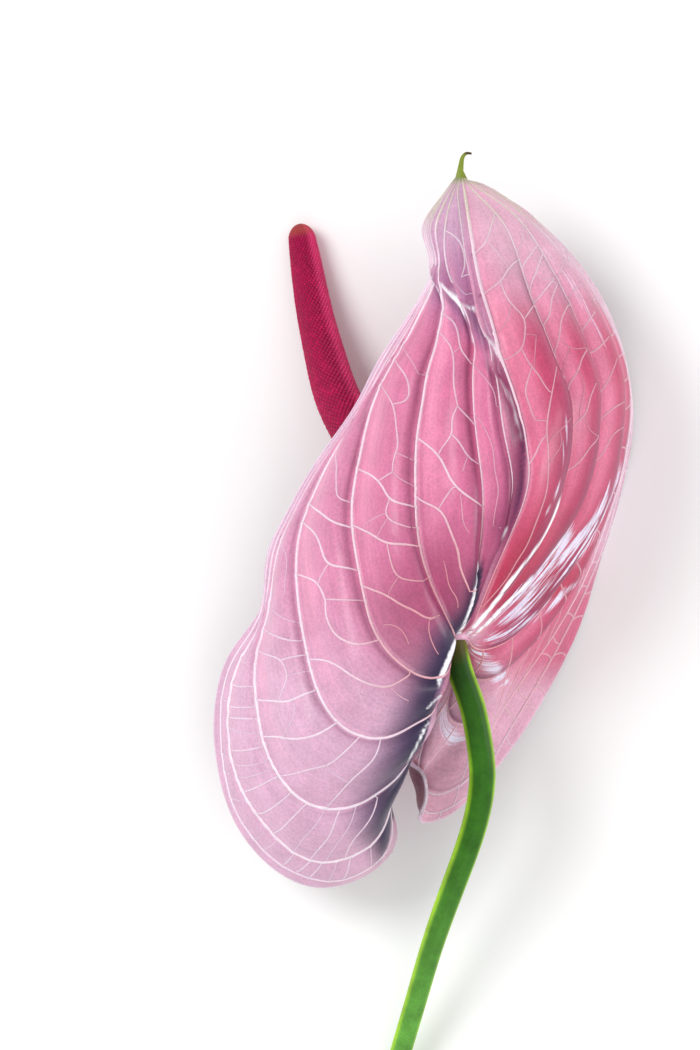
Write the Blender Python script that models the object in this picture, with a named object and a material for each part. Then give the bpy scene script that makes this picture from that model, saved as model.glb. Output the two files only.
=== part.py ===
# Anthurium flower, cut and laid down: spathe, spadix and peduncle.
# Guide points are in millimetres from the place where the three pieces meet;
# x runs to the flower's right seen from behind, y to the tip, z up from the surface.

import math

import bpy
import numpy as np

MM = 0.001

# Driving dimensions, in millimetres.
BLADE_THICKNESS = 0.80
MARGIN_THICKNESS = 0.66
COLLAR_RADIUS = 3.45
COLLAR_CENTRE = (-2.0, 0.3, 37.0)
COLLAR_AXIS = (-0.25, 0.90, -0.36)
VEIN_HALF_WIDTH = 0.55
VEIN_HEIGHT = 0.32
PIECE_GAP = 0.30

# Mesh of the blade: rows from collar to tip, closer together at the collar,
# the widest vein as a share of its panel, and how far a guide may be stretched.
BLADE_ROWS = 39
ROW_CROWDING = 1.3
VEIN_SHARE_LIMIT = 0.22
SKEW_LIMIT = 0.9

# Swelling of the panels: steepness before and after its crest across a panel,
# and the shares of the length over which it grows at the collar and fades to the tip.
SWELL_RISE = 1.25
SWELL_FALL = 0.85
SWELL_GROWS = 0.10
SWELL_FADES = 0.35

# Each guide is one vein or margin of the spathe, from the collar to the tip:
# angle on the collar, y at which it is half way, then its points.
GUIDES = {
    "left_margin": (-150, 24.0, (
        (-5.5, -6.0, 30.0), (-7.5, -13.0, 26.0), (-10.5, -21.0, 23.0), (-13.2, -28.0, 21.0),
        (-14.4, -33.0, 20.5), (-13.2, -38.0, 20.0), (-13.6, -41.4, 20.0), (-17.0, -45.6, 20.0),
        (-22.0, -48.4, 20.0), (-28.8, -49.6, 20.0), (-35.4, -47.4, 19.0), (-41.0, -42.8, 18.0),
        (-46.0, -35.2, 17.0), (-48.8, -25.6, 16.0), (-49.6, -18.0, 15.5), (-49.0, -11.0, 15.0),
        (-46.6, -3.4, 14.5), (-43.0, 1.6, 14.5), (-40.2, 6.0, 15.0), (-39.4, 13.0, 16.0),
        (-38.4, 18.4, 17.0), (-35.6, 24.2, 18.0), (-31.8, 31.2, 20.0), (-26.8, 38.8, 22.0),
        (-20.6, 48.0, 25.0), (-16.4, 56.2, 27.0), (-11.4, 63.4, 29.0), (-7.6, 69.8, 30.0),
        (-6.2, 74.8, 30.0), (-6.8, 78.4, 30.0), (-7.8, 82.0, 30.0), (-6.0, 86.0, 30.5),
        (-3.4, 89.4, 31.0))),
    "left_8": (-138, 24.3, (
        (-5.2, -6.0, 31.5), (-7.1, -13.0, 28.5), (-10.3, -21.0, 26.0), (-13.2, -28.0, 24.5),
        (-14.8, -33.0, 24.0), (-14.4, -38.2, 23.5), (-15.4, -42.0, 23.5), (-19.4, -45.8, 23.5),
        (-26.0, -48.0, 23.0), (-31.0, -47.2, 22.5), (-36.6, -44.4, 21.5), (-41.6, -39.4, 20.5),
        (-44.8, -34.4, 20.0), (-47.0, -27.0, 18.8), (-47.9, -19.0, 17.5), (-47.6, -11.4, 17.0),
        (-45.4, -4.2, 16.6), (-41.9, 1.2, 16.6), (-39.6, 6.2, 16.2), (-38.8, 12.9, 17.0),
        (-37.8, 18.3, 18.0), (-35.1, 24.2, 18.8), (-31.3, 31.2, 20.8), (-26.3, 38.8, 22.8),
        (-20.1, 48.1, 25.7), (-15.8, 56.2, 28.2), (-11.0, 63.4, 30.0), (-7.3, 69.8, 31.0),
        (-5.9, 74.7, 31.0), (-6.5, 78.4, 30.8), (-7.4, 82.0, 30.8), (-5.7, 86.0, 31.0),
        (-3.2, 89.4, 31.3))),
    "left_7": (-124, 24.6, (
        (-4.9, -6.0, 33.5), (-6.8, -13.0, 31.5), (-10.2, -21.0, 29.5), (-13.4, -28.5, 28.5),
        (-14.6, -32.6, 28.3), (-15.6, -36.4, 28.4), (-18.0, -40.4, 28.4), (-22.2, -43.0, 28.0),
        (-28.0, -44.2, 27.5), (-33.6, -42.2, 27.0), (-37.8, -38.4, 26.0), (-43.0, -31.4, 24.2),
        (-45.6, -24.6, 22.4), (-46.4, -18.0, 20.8), (-46.1, -11.2, 19.7), (-44.3, -4.8, 19.0),
        (-41.0, 0.9, 18.3), (-39.0, 6.4, 17.4), (-38.1, 12.9, 18.2), (-37.1, 18.4, 19.1),
        (-34.4, 24.3, 19.8), (-30.7, 31.3, 21.7), (-25.7, 38.9, 23.8), (-19.5, 48.2, 26.6),
        (-15.2, 56.2, 29.5), (-10.5, 63.5, 31.0), (-7.0, 69.8, 32.0), (-5.6, 74.7, 32.0),
        (-6.2, 78.4, 31.6), (-7.1, 82.0, 31.5), (-5.4, 86.0, 31.5), (-3.0, 89.5, 31.6))),
    "left_6": (-108, 25.0, (
        (-4.7, -6.0, 36.0), (-6.5, -12.5, 34.5), (-9.2, -19.0, 33.5), (-11.7, -25.0, 33.8),
        (-14.2, -28.2, 34.8), (-17.0, -30.4, 35.8), (-19.8, -32.2, 36.3), (-24.2, -33.6, 36.3),
        (-31.0, -32.4, 35.0), (-36.0, -27.6, 33.0), (-39.4, -20.6, 30.0), (-40.8, -13.0, 27.4),
        (-41.2, -7.0, 25.2), (-40.4, -1.6, 22.6), (-39.0, 3.2, 20.2), (-38.0, 8.0, 19.0),
        (-37.3, 13.2, 19.5), (-36.2, 18.6, 20.4), (-33.5, 24.6, 21.3), (-29.9, 31.5, 23.0),
        (-24.9, 39.0, 25.2), (-18.8, 48.3, 28.0), (-14.5, 56.2, 31.0), (-10.0, 63.6, 32.2),
        (-6.7, 69.9, 33.0), (-5.4, 74.7, 33.0), (-5.9, 78.4, 32.5), (-6.8, 82.1, 32.2),
        (-5.1, 86.0, 32.0), (-2.8, 89.5, 31.9))),
    "left_5": (-88, 28.0, (
        (-4.2, -5.0, 38.5), (-5.4, -10.5, 38.5), (-6.4, -14.4, 40.0), (-9.2, -16.4, 42.0),
        (-13.0, -18.6, 43.0), (-16.8, -19.6, 43.5), (-20.0, -19.2, 43.5), (-24.4, -16.8, 43.0),
        (-28.0, -11.8, 42.0), (-30.6, -3.6, 38.5), (-32.0, 3.6, 35.5), (-32.8, 12.0, 32.0),
        (-32.2, 21.0, 28.5), (-29.8, 28.0, 27.0), (-25.6, 36.6, 27.2), (-17.9, 48.5, 29.9),
        (-13.8, 56.2, 32.2), (-9.3, 63.8, 33.2), (-6.4, 69.9, 33.9), (-5.1, 74.7, 34.0),
        (-5.6, 78.4, 33.4), (-6.4, 82.1, 32.9), (-4.9, 86.0, 32.5), (-2.7, 89.5, 32.2))),
    "left_4": (-62, 34.0, (
        (-3.2, -3.2, 40.8), (-3.2, -6.0, 42.0), (-5.0, -7.4, 43.4), (-7.8, -7.4, 44.8),
        (-13.0, -4.4, 46.6), (-17.2, 1.0, 46.5), (-19.8, 10.0, 44.6), (-21.2, 17.6, 42.4),
        (-21.8, 27.0, 38.6), (-20.2, 36.6, 35.4), (-17.4, 47.4, 33.2), (-13.2, 55.8, 33.4),
        (-8.6, 64.2, 34.2), (-6.1, 70.0, 34.8), (-4.8, 74.7, 35.0), (-5.3, 78.4, 34.4),
        (-6.0, 82.1, 33.7), (-4.6, 86.0, 33.1), (-2.5, 89.6, 32.5))),
    "left_3": (-34, 40.0, (
        (-2.2, 0.4, 42.6), (-3.4, 4.4, 45.6), (-6.2, 10.4, 48.0), (-8.8, 19.4, 49.5),
        (-9.4, 29.0, 48.6), (-9.0, 40.4, 46.2), (-7.8, 48.0, 44.0), (-6.9, 53.2, 42.8),
        (-5.3, 58.4, 41.4), (-4.2, 63.4, 40.0), (-3.7, 67.0, 38.9), (-4.1, 70.6, 37.4),
        (-4.1, 74.6, 36.2), (-4.5, 78.4, 35.3), (-5.0, 82.2, 34.6), (-3.8, 86.0, 33.8),
        (-2.0, 89.7, 32.9))),
    "left_2": (-12, 44.0, (
        (-0.8, 3.0, 42.6), (1.0, 6.2, 44.8), (2.2, 10.0, 46.6), (2.9, 16.0, 49.0),
        (3.5, 22.0, 50.5), (3.8, 29.8, 51.3), (3.3, 35.4, 51.0), (2.6, 41.4, 50.0),
        (2.1, 48.4, 48.5), (2.2, 54.4, 46.9), (2.6, 60.0, 45.2), (1.1, 65.5, 43.0),
        (-0.8, 69.6, 41.0), (-2.4, 73.6, 39.5), (-3.2, 79.0, 37.4), (-2.8, 84.6, 35.3),
        (-1.4, 89.4, 33.3))),
    "left_1": (0, 46.0, (
        (0.4, 3.2, 42.6), (2.0, 6.2, 44.6), (3.2, 9.2, 46.0), (4.4, 12.4, 47.5),
        (5.8, 16.2, 49.2), (7.4, 19.6, 50.4), (9.0, 25.6, 52.0), (9.7, 31.6, 53.0),
        (8.6, 38.8, 53.2), (7.6, 45.0, 52.8), (7.0, 50.6, 51.8), (4.8, 61.0, 48.8),
        (2.4, 69.6, 45.2), (0.6, 78.0, 41.0), (-0.3, 85.0, 37.0), (-0.6, 89.8, 34.0))),
    "midrib": (10, 47.5, (
        (1.4, 3.0, 42.4), (2.9, 6.1, 44.4), (4.5, 10.0, 46.5), (6.0, 13.8, 48.3),
        (8.0, 18.6, 50.1), (9.6, 22.4, 51.2), (11.8, 28.0, 52.5), (12.8, 34.2, 53.3),
        (12.3, 38.6, 53.5), (11.2, 43.4, 53.3), (9.9, 48.4, 52.9), (8.2, 54.0, 52.0),
        (6.0, 62.0, 49.6), (3.8, 70.0, 46.4), (2.0, 80.0, 41.2), (0.9, 87.0, 36.6),
        (0.3, 90.6, 33.8))),
    "right_1": (26, 46.5, (
        (2.6, 3.2, 40.4), (5.0, 6.4, 41.0), (7.8, 9.8, 41.5), (12.0, 15.4, 42.0),
        (15.6, 21.4, 42.3), (17.8, 26.6, 42.8), (19.4, 31.6, 43.4), (20.6, 36.2, 44.1),
        (21.2, 42.0, 45.0), (20.8, 48.4, 45.5), (18.6, 54.4, 45.6), (16.2, 60.6, 45.0),
        (13.8, 66.6, 43.6), (12.0, 72.0, 41.8), (10.4, 77.2, 39.6), (8.2, 82.6, 37.0),
        (5.0, 86.6, 35.2), (1.9, 89.8, 33.6))),
    "right_2": (44, 44.0, (
        (3.0, 2.0, 37.8), (5.6, 4.6, 36.9), (9.0, 8.4, 36.0), (12.2, 12.2, 35.3),
        (16.2, 17.4, 34.5), (20.0, 22.6, 33.8), (22.8, 27.0, 33.6), (24.6, 31.6, 33.9),
        (25.9, 37.0, 34.5), (26.6, 43.4, 35.5), (26.8, 49.0, 36.3), (25.6, 54.4, 37.0),
        (23.8, 59.6, 37.3), (21.0, 66.6, 37.2), (17.4, 73.8, 36.2), (14.2, 79.4, 35.2),
        (11.0, 83.8, 34.2), (7.4, 87.0, 33.5), (3.0, 90.1, 32.8))),
    "right_3": (66, 42.5, (
        (2.8, -1.4, 34.8), (5.8, -1.2, 32.8), (9.0, 0.4, 30.8), (12.2, 3.2, 28.6),
        (16.0, 7.6, 26.2), (20.0, 13.0, 24.0), (23.8, 19.2, 22.3), (26.8, 25.6, 21.3),
        (29.2, 32.6, 21.0), (30.4, 38.0, 21.6), (31.2, 44.6, 22.9), (31.0, 52.6, 24.9),
        (29.2, 59.2, 26.8), (26.8, 65.0, 28.2), (24.0, 70.4, 29.0), (20.8, 75.2, 29.6),
        (17.0, 80.0, 30.2), (12.4, 84.3, 31.0), (8.0, 87.6, 31.7), (3.4, 90.3, 32.2))),
    "right_4": (92, 41.0, (
        (0.4, -4.6, 31.6), (1.6, -7.0, 29.6), (4.2, -7.6, 28.2), (7.8, -6.0, 26.5),
        (11.8, -2.4, 24.0), (17.4, 4.0, 20.0), (21.8, 11.0, 17.2), (25.4, 18.0, 15.3),
        (28.4, 25.4, 14.4), (30.6, 32.0, 14.3), (32.0, 38.4, 14.6), (32.8, 44.8, 15.2),
        (32.6, 51.0, 16.6), (31.2, 57.4, 19.1), (29.0, 62.8, 21.3), (26.6, 67.4, 23.0),
        (23.2, 73.0, 25.2), (20.0, 77.4, 26.8), (17.0, 80.9, 28.0), (12.8, 84.9, 29.6),
        (8.6, 87.8, 30.9), (3.8, 90.5, 31.7))),
    "right_5": (108, 40.0, (
        (-1.2, -5.6, 31.0), (-2.4, -11.0, 28.0), (-2.2, -15.8, 25.2), (0.6, -16.6, 23.2),
        (5.0, -12.4, 21.0), (10.6, -5.6, 18.4), (18.0, 3.4, 15.6), (23.2, 12.0, 13.2),
        (27.0, 20.4, 12.2), (29.8, 28.4, 11.6), (31.4, 34.0, 11.5), (32.5, 39.0, 11.8),
        (33.3, 45.0, 12.4), (33.0, 51.0, 13.7), (31.6, 57.4, 16.4), (29.4, 62.8, 19.0),
        (27.0, 67.6, 21.0), (23.4, 73.2, 23.6), (20.0, 77.8, 25.6), (17.0, 81.1, 27.1),
        (12.8, 85.1, 29.0), (8.6, 88.0, 30.5), (3.9, 90.6, 31.5))),
    "right_collective": (124, 39.2, (
        (-2.6, -6.4, 30.4), (-5.0, -13.0, 26.8), (-7.2, -20.0, 23.4), (-8.6, -25.6, 20.8),
        (-8.2, -29.2, 19.2), (-5.8, -30.8, 18.4), (-2.8, -30.2, 17.6), (0.8, -27.8, 16.6),
        (3.8, -22.2, 15.6), (6.6, -16.0, 14.8), (10.8, -9.4, 13.8), (19.4, 3.2, 11.5),
        (24.8, 13.4, 9.8), (28.4, 22.8, 9.1), (31.2, 31.4, 8.8), (32.8, 38.6, 9.1),
        (33.7, 44.8, 9.9), (33.4, 51.0, 11.2), (32.0, 57.6, 13.9), (29.8, 63.0, 16.8),
        (27.4, 67.8, 19.1), (23.6, 73.6, 22.2), (20.2, 77.9, 24.5), (17.1, 81.2, 26.3),
        (12.9, 85.2, 28.5), (8.7, 88.1, 30.1), (4.0, 90.7, 31.3))),
    "right_curl": (134, 38.6, (
        (-3.4, -6.2, 30.6), (-5.9, -12.8, 27.2), (-8.4, -19.6, 23.4), (-10.4, -24.4, 20.8),
        (-10.3, -26.6, 20.2), (-9.5, -28.8, 20.2), (-8.8, -31.2, 19.8), (-8.4, -34.0, 18.2),
        (-6.2, -34.8, 16.4), (-2.6, -33.6, 15.2), (1.4, -30.4, 14.0), (6.0, -23.8, 12.2),
        (12.4, -13.0, 10.2), (20.0, 0.2, 8.2), (26.0, 13.2, 6.9), (29.4, 22.8, 6.4),
        (32.4, 35.0, 6.8), (33.9, 43.0, 7.6), (33.7, 49.6, 8.8), (32.3, 56.8, 11.6),
        (28.6, 66.6, 16.9), (22.6, 75.7, 21.8), (17.3, 81.2, 25.3), (9.6, 87.5, 29.5),
        (4.1, 90.9, 31.2))),
    "right_margin": (146, 38.0, (
        (-4.2, -6.0, 30.8), (-6.9, -12.4, 27.6), (-9.8, -19.0, 24.2), (-11.8, -23.4, 22.0),
        (-10.2, -25.2, 22.2), (-8.2, -26.2, 22.8), (-7.2, -28.4, 22.9), (-6.9, -30.8, 22.2),
        (-7.5, -33.8, 20.2), (-8.6, -36.4, 17.8), (-4.6, -36.2, 15.0), (0.6, -32.6, 12.6),
        (7.6, -25.0, 9.6), (17.6, -10.0, 6.4), (25.4, 7.4, 4.0), (27.8, 16.0, 3.4),
        (30.6, 24.4, 3.15), (33.4, 35.6, 4.2), (34.4, 42.4, 5.2), (34.1, 48.0, 6.4),
        (32.6, 56.0, 9.2), (27.8, 67.6, 15.6), (21.6, 76.6, 20.7), (17.2, 81.2, 24.2),
        (9.9, 87.2, 28.9), (4.2, 91.1, 31.0))),
}

# Panel of tissue between two neighbouring guides: inner columns of the mesh
# and how far it swells between its veins, as a share of its width.
PANELS = (
    (0, 0.00), (0, 0.02), (1, 0.07), (2, 0.09), (2, 0.10), (2, 0.11), (2, 0.13), (1, 0.13),
    (1, 0.13), (2, 0.15), (2, 0.15), (2, 0.15), (2, 0.12), (1, 0.08), (1, 0.05), (0, 0.00),
    (1, 0.00),
)
SMOOTH_GUIDES = ("left_margin", "left_8", "right_5", "right_curl", "right_margin")

# Tip of the spathe, drawn out to a hooked point: centre line, width, thickness.
TIP_LINE = ((-1.3, 92.6, 31.9), (1.2, 91.9, 31.7))
CUSP = (
    ((-0.35, 94.0, 31.6), 1.55, 1.00), ((-0.15, 95.4, 31.3), 1.20, 0.95),
    ((0.15, 96.6, 31.0), 0.95, 0.85), ((0.85, 97.35, 30.8), 0.75, 0.75),
    ((1.90, 97.30, 30.6), 0.50, 0.60),
)
CUSP_EDGE_SHARE = 0.35

# Spadix: centre line with its radius.
SPADIX_LINE = (
    ((-4.1, 6.2, 34.6), 4.55), ((-8.8, 17.4, 29.4), 4.85), ((-14.6, 29.4, 23.6), 4.85),
    ((-20.2, 39.6, 18.4), 4.75), ((-24.8, 48.4, 14.4), 4.55), ((-27.4, 57.0, 11.0), 4.10),
    ((-29.6, 66.2, 8.3), 3.60), ((-31.2, 75.4, 6.5), 3.15),
)
SPADIX_TIP = (-32.6, 83.8, 6.1)
SPADIX_TIP_RADIUS = 2.45
SPADIX_STIPE_RADIUS = 2.70
SPADIX_STIPE_LENGTH = 2.4
SPADIX_SHOULDER_RADIUS = 3.30
DOME_LENGTH = 3.0
DOME_ANGLES = (18.0, 36.0, 54.0, 71.0, 85.0)
FLORETS_AROUND = 13
FLORET_ROWS = 83
BARE_ROWS = 3
FLORET_HEIGHT = 0.42

# Peduncle: centre line with its radius, from the collar to the cut end.
PEDUNCLE_LINE = (
    ((-0.5, -5.8, 36.2), 2.60), ((1.9, -12.8, 34.6), 2.62), ((3.4, -20.0, 32.6), 2.66),
    ((4.1, -26.4, 30.6), 2.68), ((3.6, -32.4, 28.6), 2.64), ((2.2, -38.4, 26.2), 2.58),
    ((0.2, -44.4, 23.8), 2.52), ((-2.8, -52.6, 20.3), 2.42), ((-6.0, -62.0, 16.2), 2.30),
    ((-8.9, -72.0, 12.2), 2.22), ((-11.8, -82.0, 8.8), 2.18), ((-14.6, -92.0, 6.3), 2.20),
    ((-17.4, -102.0, 5.45), 2.28),
)
PEDUNCLE_END = (-18.9, -107.0, 5.35)
PEDUNCLE_END_RADIUS = 2.30
PEDUNCLE_TOP_RADIUS = 2.65
PEDUNCLE_SIDES = 12
PEDUNCLE_RINGS = 46

# Colours, linear RGB, with each surface's roughness.
SPATHE_COLOUR = (0.62, 0.24, 0.38, 1.0)
SPATHE_ROUGHNESS = 0.28
SPADIX_COLOUR = (0.38, 0.01, 0.06, 1.0)
SPADIX_ROUGHNESS = 0.45
PEDUNCLE_COLOUR = (0.08, 0.22, 0.03, 1.0)
PEDUNCLE_ROUGHNESS = 0.35

# Edges sharper than this stay sharp in the shading, in degrees.
SHARP_ANGLE = 50.0


def unit(vector):
    """Return vectors of length one."""
    vector = np.asarray(vector, dtype=float)
    return vector / np.maximum(np.linalg.norm(vector, axis=-1, keepdims=True), 1e-12)


def natural_spline(knots, values, samples):
    """Natural cubic spline through values at knots, read at samples."""
    knots = np.asarray(knots, dtype=float)
    values = np.asarray(values, dtype=float)
    count = len(knots)
    step = np.diff(knots)
    slope = np.diff(values, axis=0) / step[:, None]
    matrix = np.eye(count)
    right = np.zeros_like(values)
    for i in range(1, count - 1):
        matrix[i, i - 1] = step[i - 1]
        matrix[i, i] = 2.0 * (step[i - 1] + step[i])
        matrix[i, i + 1] = step[i]
        right[i] = 6.0 * (slope[i] - slope[i - 1])
    bend = np.linalg.solve(matrix, right)
    cell = np.clip(np.searchsorted(knots, samples, side="right") - 1, 0, count - 2)
    width = step[cell][:, None]
    before = (knots[cell + 1] - samples)[:, None]
    after = (samples - knots[cell])[:, None]
    return (
        bend[cell] * before ** 3 / (6.0 * width)
        + bend[cell + 1] * after ** 3 / (6.0 * width)
        + (values[cell] / width - bend[cell] * width / 6.0) * before
        + (values[cell + 1] / width - bend[cell + 1] * width / 6.0) * after
    )


def smooth_line(points, per_span=12):
    """Fine polyline on the spline through points, with its running length."""
    points = np.asarray(points, dtype=float)
    knots = np.concatenate(([0.0], np.cumsum(np.linalg.norm(np.diff(points[:, :3], axis=0), axis=1))))
    samples = np.linspace(0.0, knots[-1], per_span * (len(points) - 1) + 1)
    line = natural_spline(knots, points, samples)
    length = np.concatenate(([0.0], np.cumsum(np.linalg.norm(np.diff(line[:, :3], axis=0), axis=1))))
    return line, length


def collar_frame():
    """Centre, top and left directions of the ring where the spathe grows from the stem."""
    axis = unit(COLLAR_AXIS)
    top = unit(np.array((0.0, 0.0, 1.0)) - axis[2] * axis)
    left = np.cross(top, axis)
    if left[0] > 0.0:
        left = -left
    return np.array(COLLAR_CENTRE), axis, top, left


def collar_point(angle):
    """Point on the collar; 0 is the side away from the surface, minus is left."""
    centre, _, top, left = collar_frame()
    turn = math.radians(angle)
    return centre + COLLAR_RADIUS * (math.cos(turn) * top - math.sin(turn) * left)


def tip_point(share):
    """Point on the line where the blade passes into its cusp."""
    start, end = np.array(TIP_LINE)
    return start + share * (end - start)


def guide_samples(row_shares):
    """Every guide read at the same shares of its way: guides x rows x 3."""
    sampled = []
    last = len(GUIDES) - 1
    for order, (angle, half_y, points) in enumerate(GUIDES.values()):
        whole = [tuple(collar_point(angle))] + list(points) + [tuple(tip_point(order / last))]
        line, length = smooth_line(whole)
        below = np.nonzero(line[:, 1] < half_y)[0][-1]
        half = length[below] / length[-1]
        skew = np.clip(4.0 * (half - 0.5), -SKEW_LIMIT, SKEW_LIMIT)
        reach = (row_shares + skew * row_shares * (1.0 - row_shares)) * length[-1]
        sampled.append(np.stack([np.interp(reach, length, line[:, k]) for k in range(3)], axis=1))
    return np.array(sampled)


def swell(share):
    """Swelling across a panel, highest past its middle, as on a pleated leaf."""
    peak = SWELL_RISE / (SWELL_RISE + SWELL_FALL)
    highest = peak ** SWELL_RISE * (1.0 - peak) ** SWELL_FALL
    return share ** SWELL_RISE * (1.0 - share) ** SWELL_FALL / highest


def swell_along(row_share):
    """How much of the swelling shows from the collar to the tip."""
    grow = min(1.0, row_share / SWELL_GROWS)
    fade = min(1.0, (1.0 - row_share) / SWELL_FADES)
    return grow * grow * (3.0 - 2.0 * grow) * fade


def panel_shares(inner, left_vein, right_vein, width):
    """Places of the mesh columns across one panel, from 0 up to but not at 1."""
    edge = min(VEIN_SHARE_LIMIT, VEIN_HALF_WIDTH / width)
    shares = [0.0]
    if left_vein:
        shares.append(edge)
    low = edge if left_vein else 0.0
    high = 1.0 - edge if right_vein else 1.0
    for k in range(inner):
        shares.append(low + (high - low) * (k + 1.0) / (inner + 1.0))
    if right_vein:
        shares.append(1.0 - edge)
    return shares


def blade_row(points, row_share):
    """One row of the blade across all panels: points, swelling and vein height."""
    chord = np.maximum(np.linalg.norm(np.diff(points, axis=0), axis=1), 1e-6)
    span = np.diff(points, axis=0) / chord[:, None]
    tangent = np.empty_like(points)
    tangent[0] = span[0]
    tangent[-1] = span[-1]
    weight = chord[1:] / (chord[:-1] + chord[1:])
    tangent[1:-1] = weight[:, None] * span[:-1] + (1.0 - weight)[:, None] * span[1:]
    names = list(GUIDES)
    row, rise = [], []
    along = swell_along(row_share)
    for i, (inner, ratio) in enumerate(PANELS):
        veins = [name not in SMOOTH_GUIDES for name in names[i:i + 2]]
        for u in panel_shares(inner, veins[0], veins[1], chord[i]):
            h00 = (1.0 + 2.0 * u) * (1.0 - u) ** 2
            h01 = u * u * (3.0 - 2.0 * u)
            h10 = u * (1.0 - u) ** 2 * chord[i]
            h11 = u * u * (u - 1.0) * chord[i]
            row.append(h00 * points[i] + h01 * points[i + 1] + h10 * tangent[i] + h11 * tangent[i + 1])
            vein = VEIN_HEIGHT * along if u == 0.0 and veins[0] else 0.0
            rise.append(vein + ratio * chord[i] * along * swell(u))
    row.append(points[-1])
    rise.append(0.0)
    return np.array(row), np.array(rise)


def grid_normals(grid):
    """Unit normals of a grid of rows and columns, on the side away from the surface."""
    down = np.gradient(grid, axis=0)
    across = np.gradient(grid, axis=1)
    return unit(np.cross(across, down))


def blade_grid():
    """Middle surface of the whole spathe and its thickness at each point."""
    shares = np.linspace(0.0, 1.0, BLADE_ROWS + 1) ** ROW_CROWDING
    guides = guide_samples(shares)
    rows, rises = [], []
    for r, share in enumerate(shares):
        row, rise = blade_row(guides[:, r], share)
        rows.append(row)
        rises.append(rise)
    grid = np.array(rows)
    grid = grid + grid_normals(grid) * np.array(rises)[:, :, None]
    columns = grid.shape[1]
    thick = np.full(grid.shape[:2], BLADE_THICKNESS)
    thick[:, (0, -1)] = MARGIN_THICKNESS
    across = np.linspace(-0.5, 0.5, columns)
    side = unit(grid[-1, -1] - grid[-1, 0])
    ends = [np.array(centre) for centre, _, _ in CUSP]
    for k, (centre, width, depth) in enumerate(CUSP):
        ahead = ends[min(k + 1, len(ends) - 1)] - ends[max(k - 1, 0)]
        up = unit(np.cross(side, unit(ahead)))
        side = unit(np.cross(unit(ahead), up))
        round_off = (0.25 - across ** 2)[:, None] * depth * 0.5 * up
        row = np.array(centre) + across[:, None] * width * side + round_off
        grid = np.concatenate((grid, row[None]))
        oval = np.sqrt(np.maximum(1.0 - (2.0 * across) ** 2, 0.0))
        share = CUSP_EDGE_SHARE + (1.0 - CUSP_EDGE_SHARE) * oval
        thick = np.concatenate((thick, (depth * share)[None]))
    return grid, thick


def closed_sheet(grid, thick):
    """Vertices and triangles of a closed sheet, split alike on both faces."""
    normal = grid_normals(grid)
    half = 0.5 * thick[:, :, None] * normal
    rows, columns = thick.shape
    points = np.concatenate(((grid + half).reshape(-1, 3), (grid - half).reshape(-1, 3)))
    back = rows * columns

    def top(r, c):
        return r * columns + c

    faces = []
    for r in range(rows - 1):
        for c in range(columns - 1):
            a, b, d, e = top(r, c), top(r, c + 1), top(r + 1, c + 1), top(r + 1, c)
            if (r + c) % 2:
                pieces = ((a, b, d), (a, d, e))
            else:
                pieces = ((a, b, e), (b, d, e))
            for p, q, s in pieces:
                faces.append((p, q, s))
                faces.append((s + back, q + back, p + back))
    rim = [top(0, c) for c in range(columns)]
    rim += [top(r, columns - 1) for r in range(1, rows)]
    rim += [top(rows - 1, c) for c in range(columns - 2, -1, -1)]
    rim += [top(r, 0) for r in range(rows - 2, 0, -1)]
    for a, b in zip(rim, rim[1:] + rim[:1]):
        faces.append((b, a, a + back))
        faces.append((b, a + back, b + back))
    return points, faces


def tube_frames(line):
    """Directions across a centre line, carried along it without twist."""
    ahead = unit(np.gradient(line, axis=0))
    up = np.array((0.0, 0.0, 1.0))
    ups, sides = [], []
    for direction in ahead:
        up = unit(up - np.dot(up, direction) * direction)
        ups.append(up)
        sides.append(np.cross(direction, up))
    return ahead, np.array(ups), np.array(sides)


def closed_tube(rings):
    """Vertices and triangles of rings of equal count, closed by a fan at each end."""
    count = len(rings[0])
    points = [point for ring in rings for point in ring]
    faces = []
    for r in range(len(rings) - 1):
        for c in range(count):
            d = (c + 1) % count
            a, b = r * count + c, r * count + d
            e, f = a + count, b + count
            if (r + c) % 2:
                faces += [(a, b, e), (b, f, e)]
            else:
                faces += [(a, b, f), (a, f, e)]
    start, end = len(points), len(points) + 1
    points.append(np.mean(rings[0], axis=0))
    points.append(np.mean(rings[-1], axis=0))
    last = (len(rings) - 1) * count
    for c in range(count):
        d = (c + 1) % count
        faces.append((start, d, c))
        faces.append((end, last + c, last + d))
    return np.array(points), faces


def spadix_rings():
    """Rings of the spadix; every second point is a floret, its neighbours the net."""
    centre, axis, _, _ = collar_frame()
    base = centre + axis * (0.5 * PIECE_GAP)
    shoulder = centre + axis * SPADIX_STIPE_LENGTH
    route = [(*base, SPADIX_STIPE_RADIUS), (*shoulder, SPADIX_SHOULDER_RADIUS)]
    route += [(*point, radius) for point, radius in SPADIX_LINE]
    route.append((*SPADIX_TIP, SPADIX_TIP_RADIUS))
    line, length = smooth_line(route)
    body = length[-1] - DOME_LENGTH
    angles = np.radians(DOME_ANGLES)
    reach = np.concatenate((np.linspace(0.0, body, FLORET_ROWS), body + DOME_LENGTH * np.sin(angles)))
    narrowing = np.concatenate((np.ones(FLORET_ROWS), np.cos(angles)))
    path = np.stack([np.interp(reach, length, line[:, k]) for k in range(4)], axis=1)
    _, ups, sides = tube_frames(path[:, :3])
    rings = []
    for r, (x, y, z, radius) in enumerate(path):
        ring = []
        for c in range(2 * FLORETS_AROUND):
            turn = math.pi * c / FLORETS_AROUND
            bump = FLORET_HEIGHT if (r + c) % 2 and r >= BARE_ROWS else 0.0
            reach_out = (radius + bump - 0.5 * FLORET_HEIGHT) * narrowing[r]
            across = math.cos(turn) * ups[r] + math.sin(turn) * sides[r]
            ring.append(np.array((x, y, z)) + reach_out * across)
        rings.append(ring)
    return rings


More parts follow.
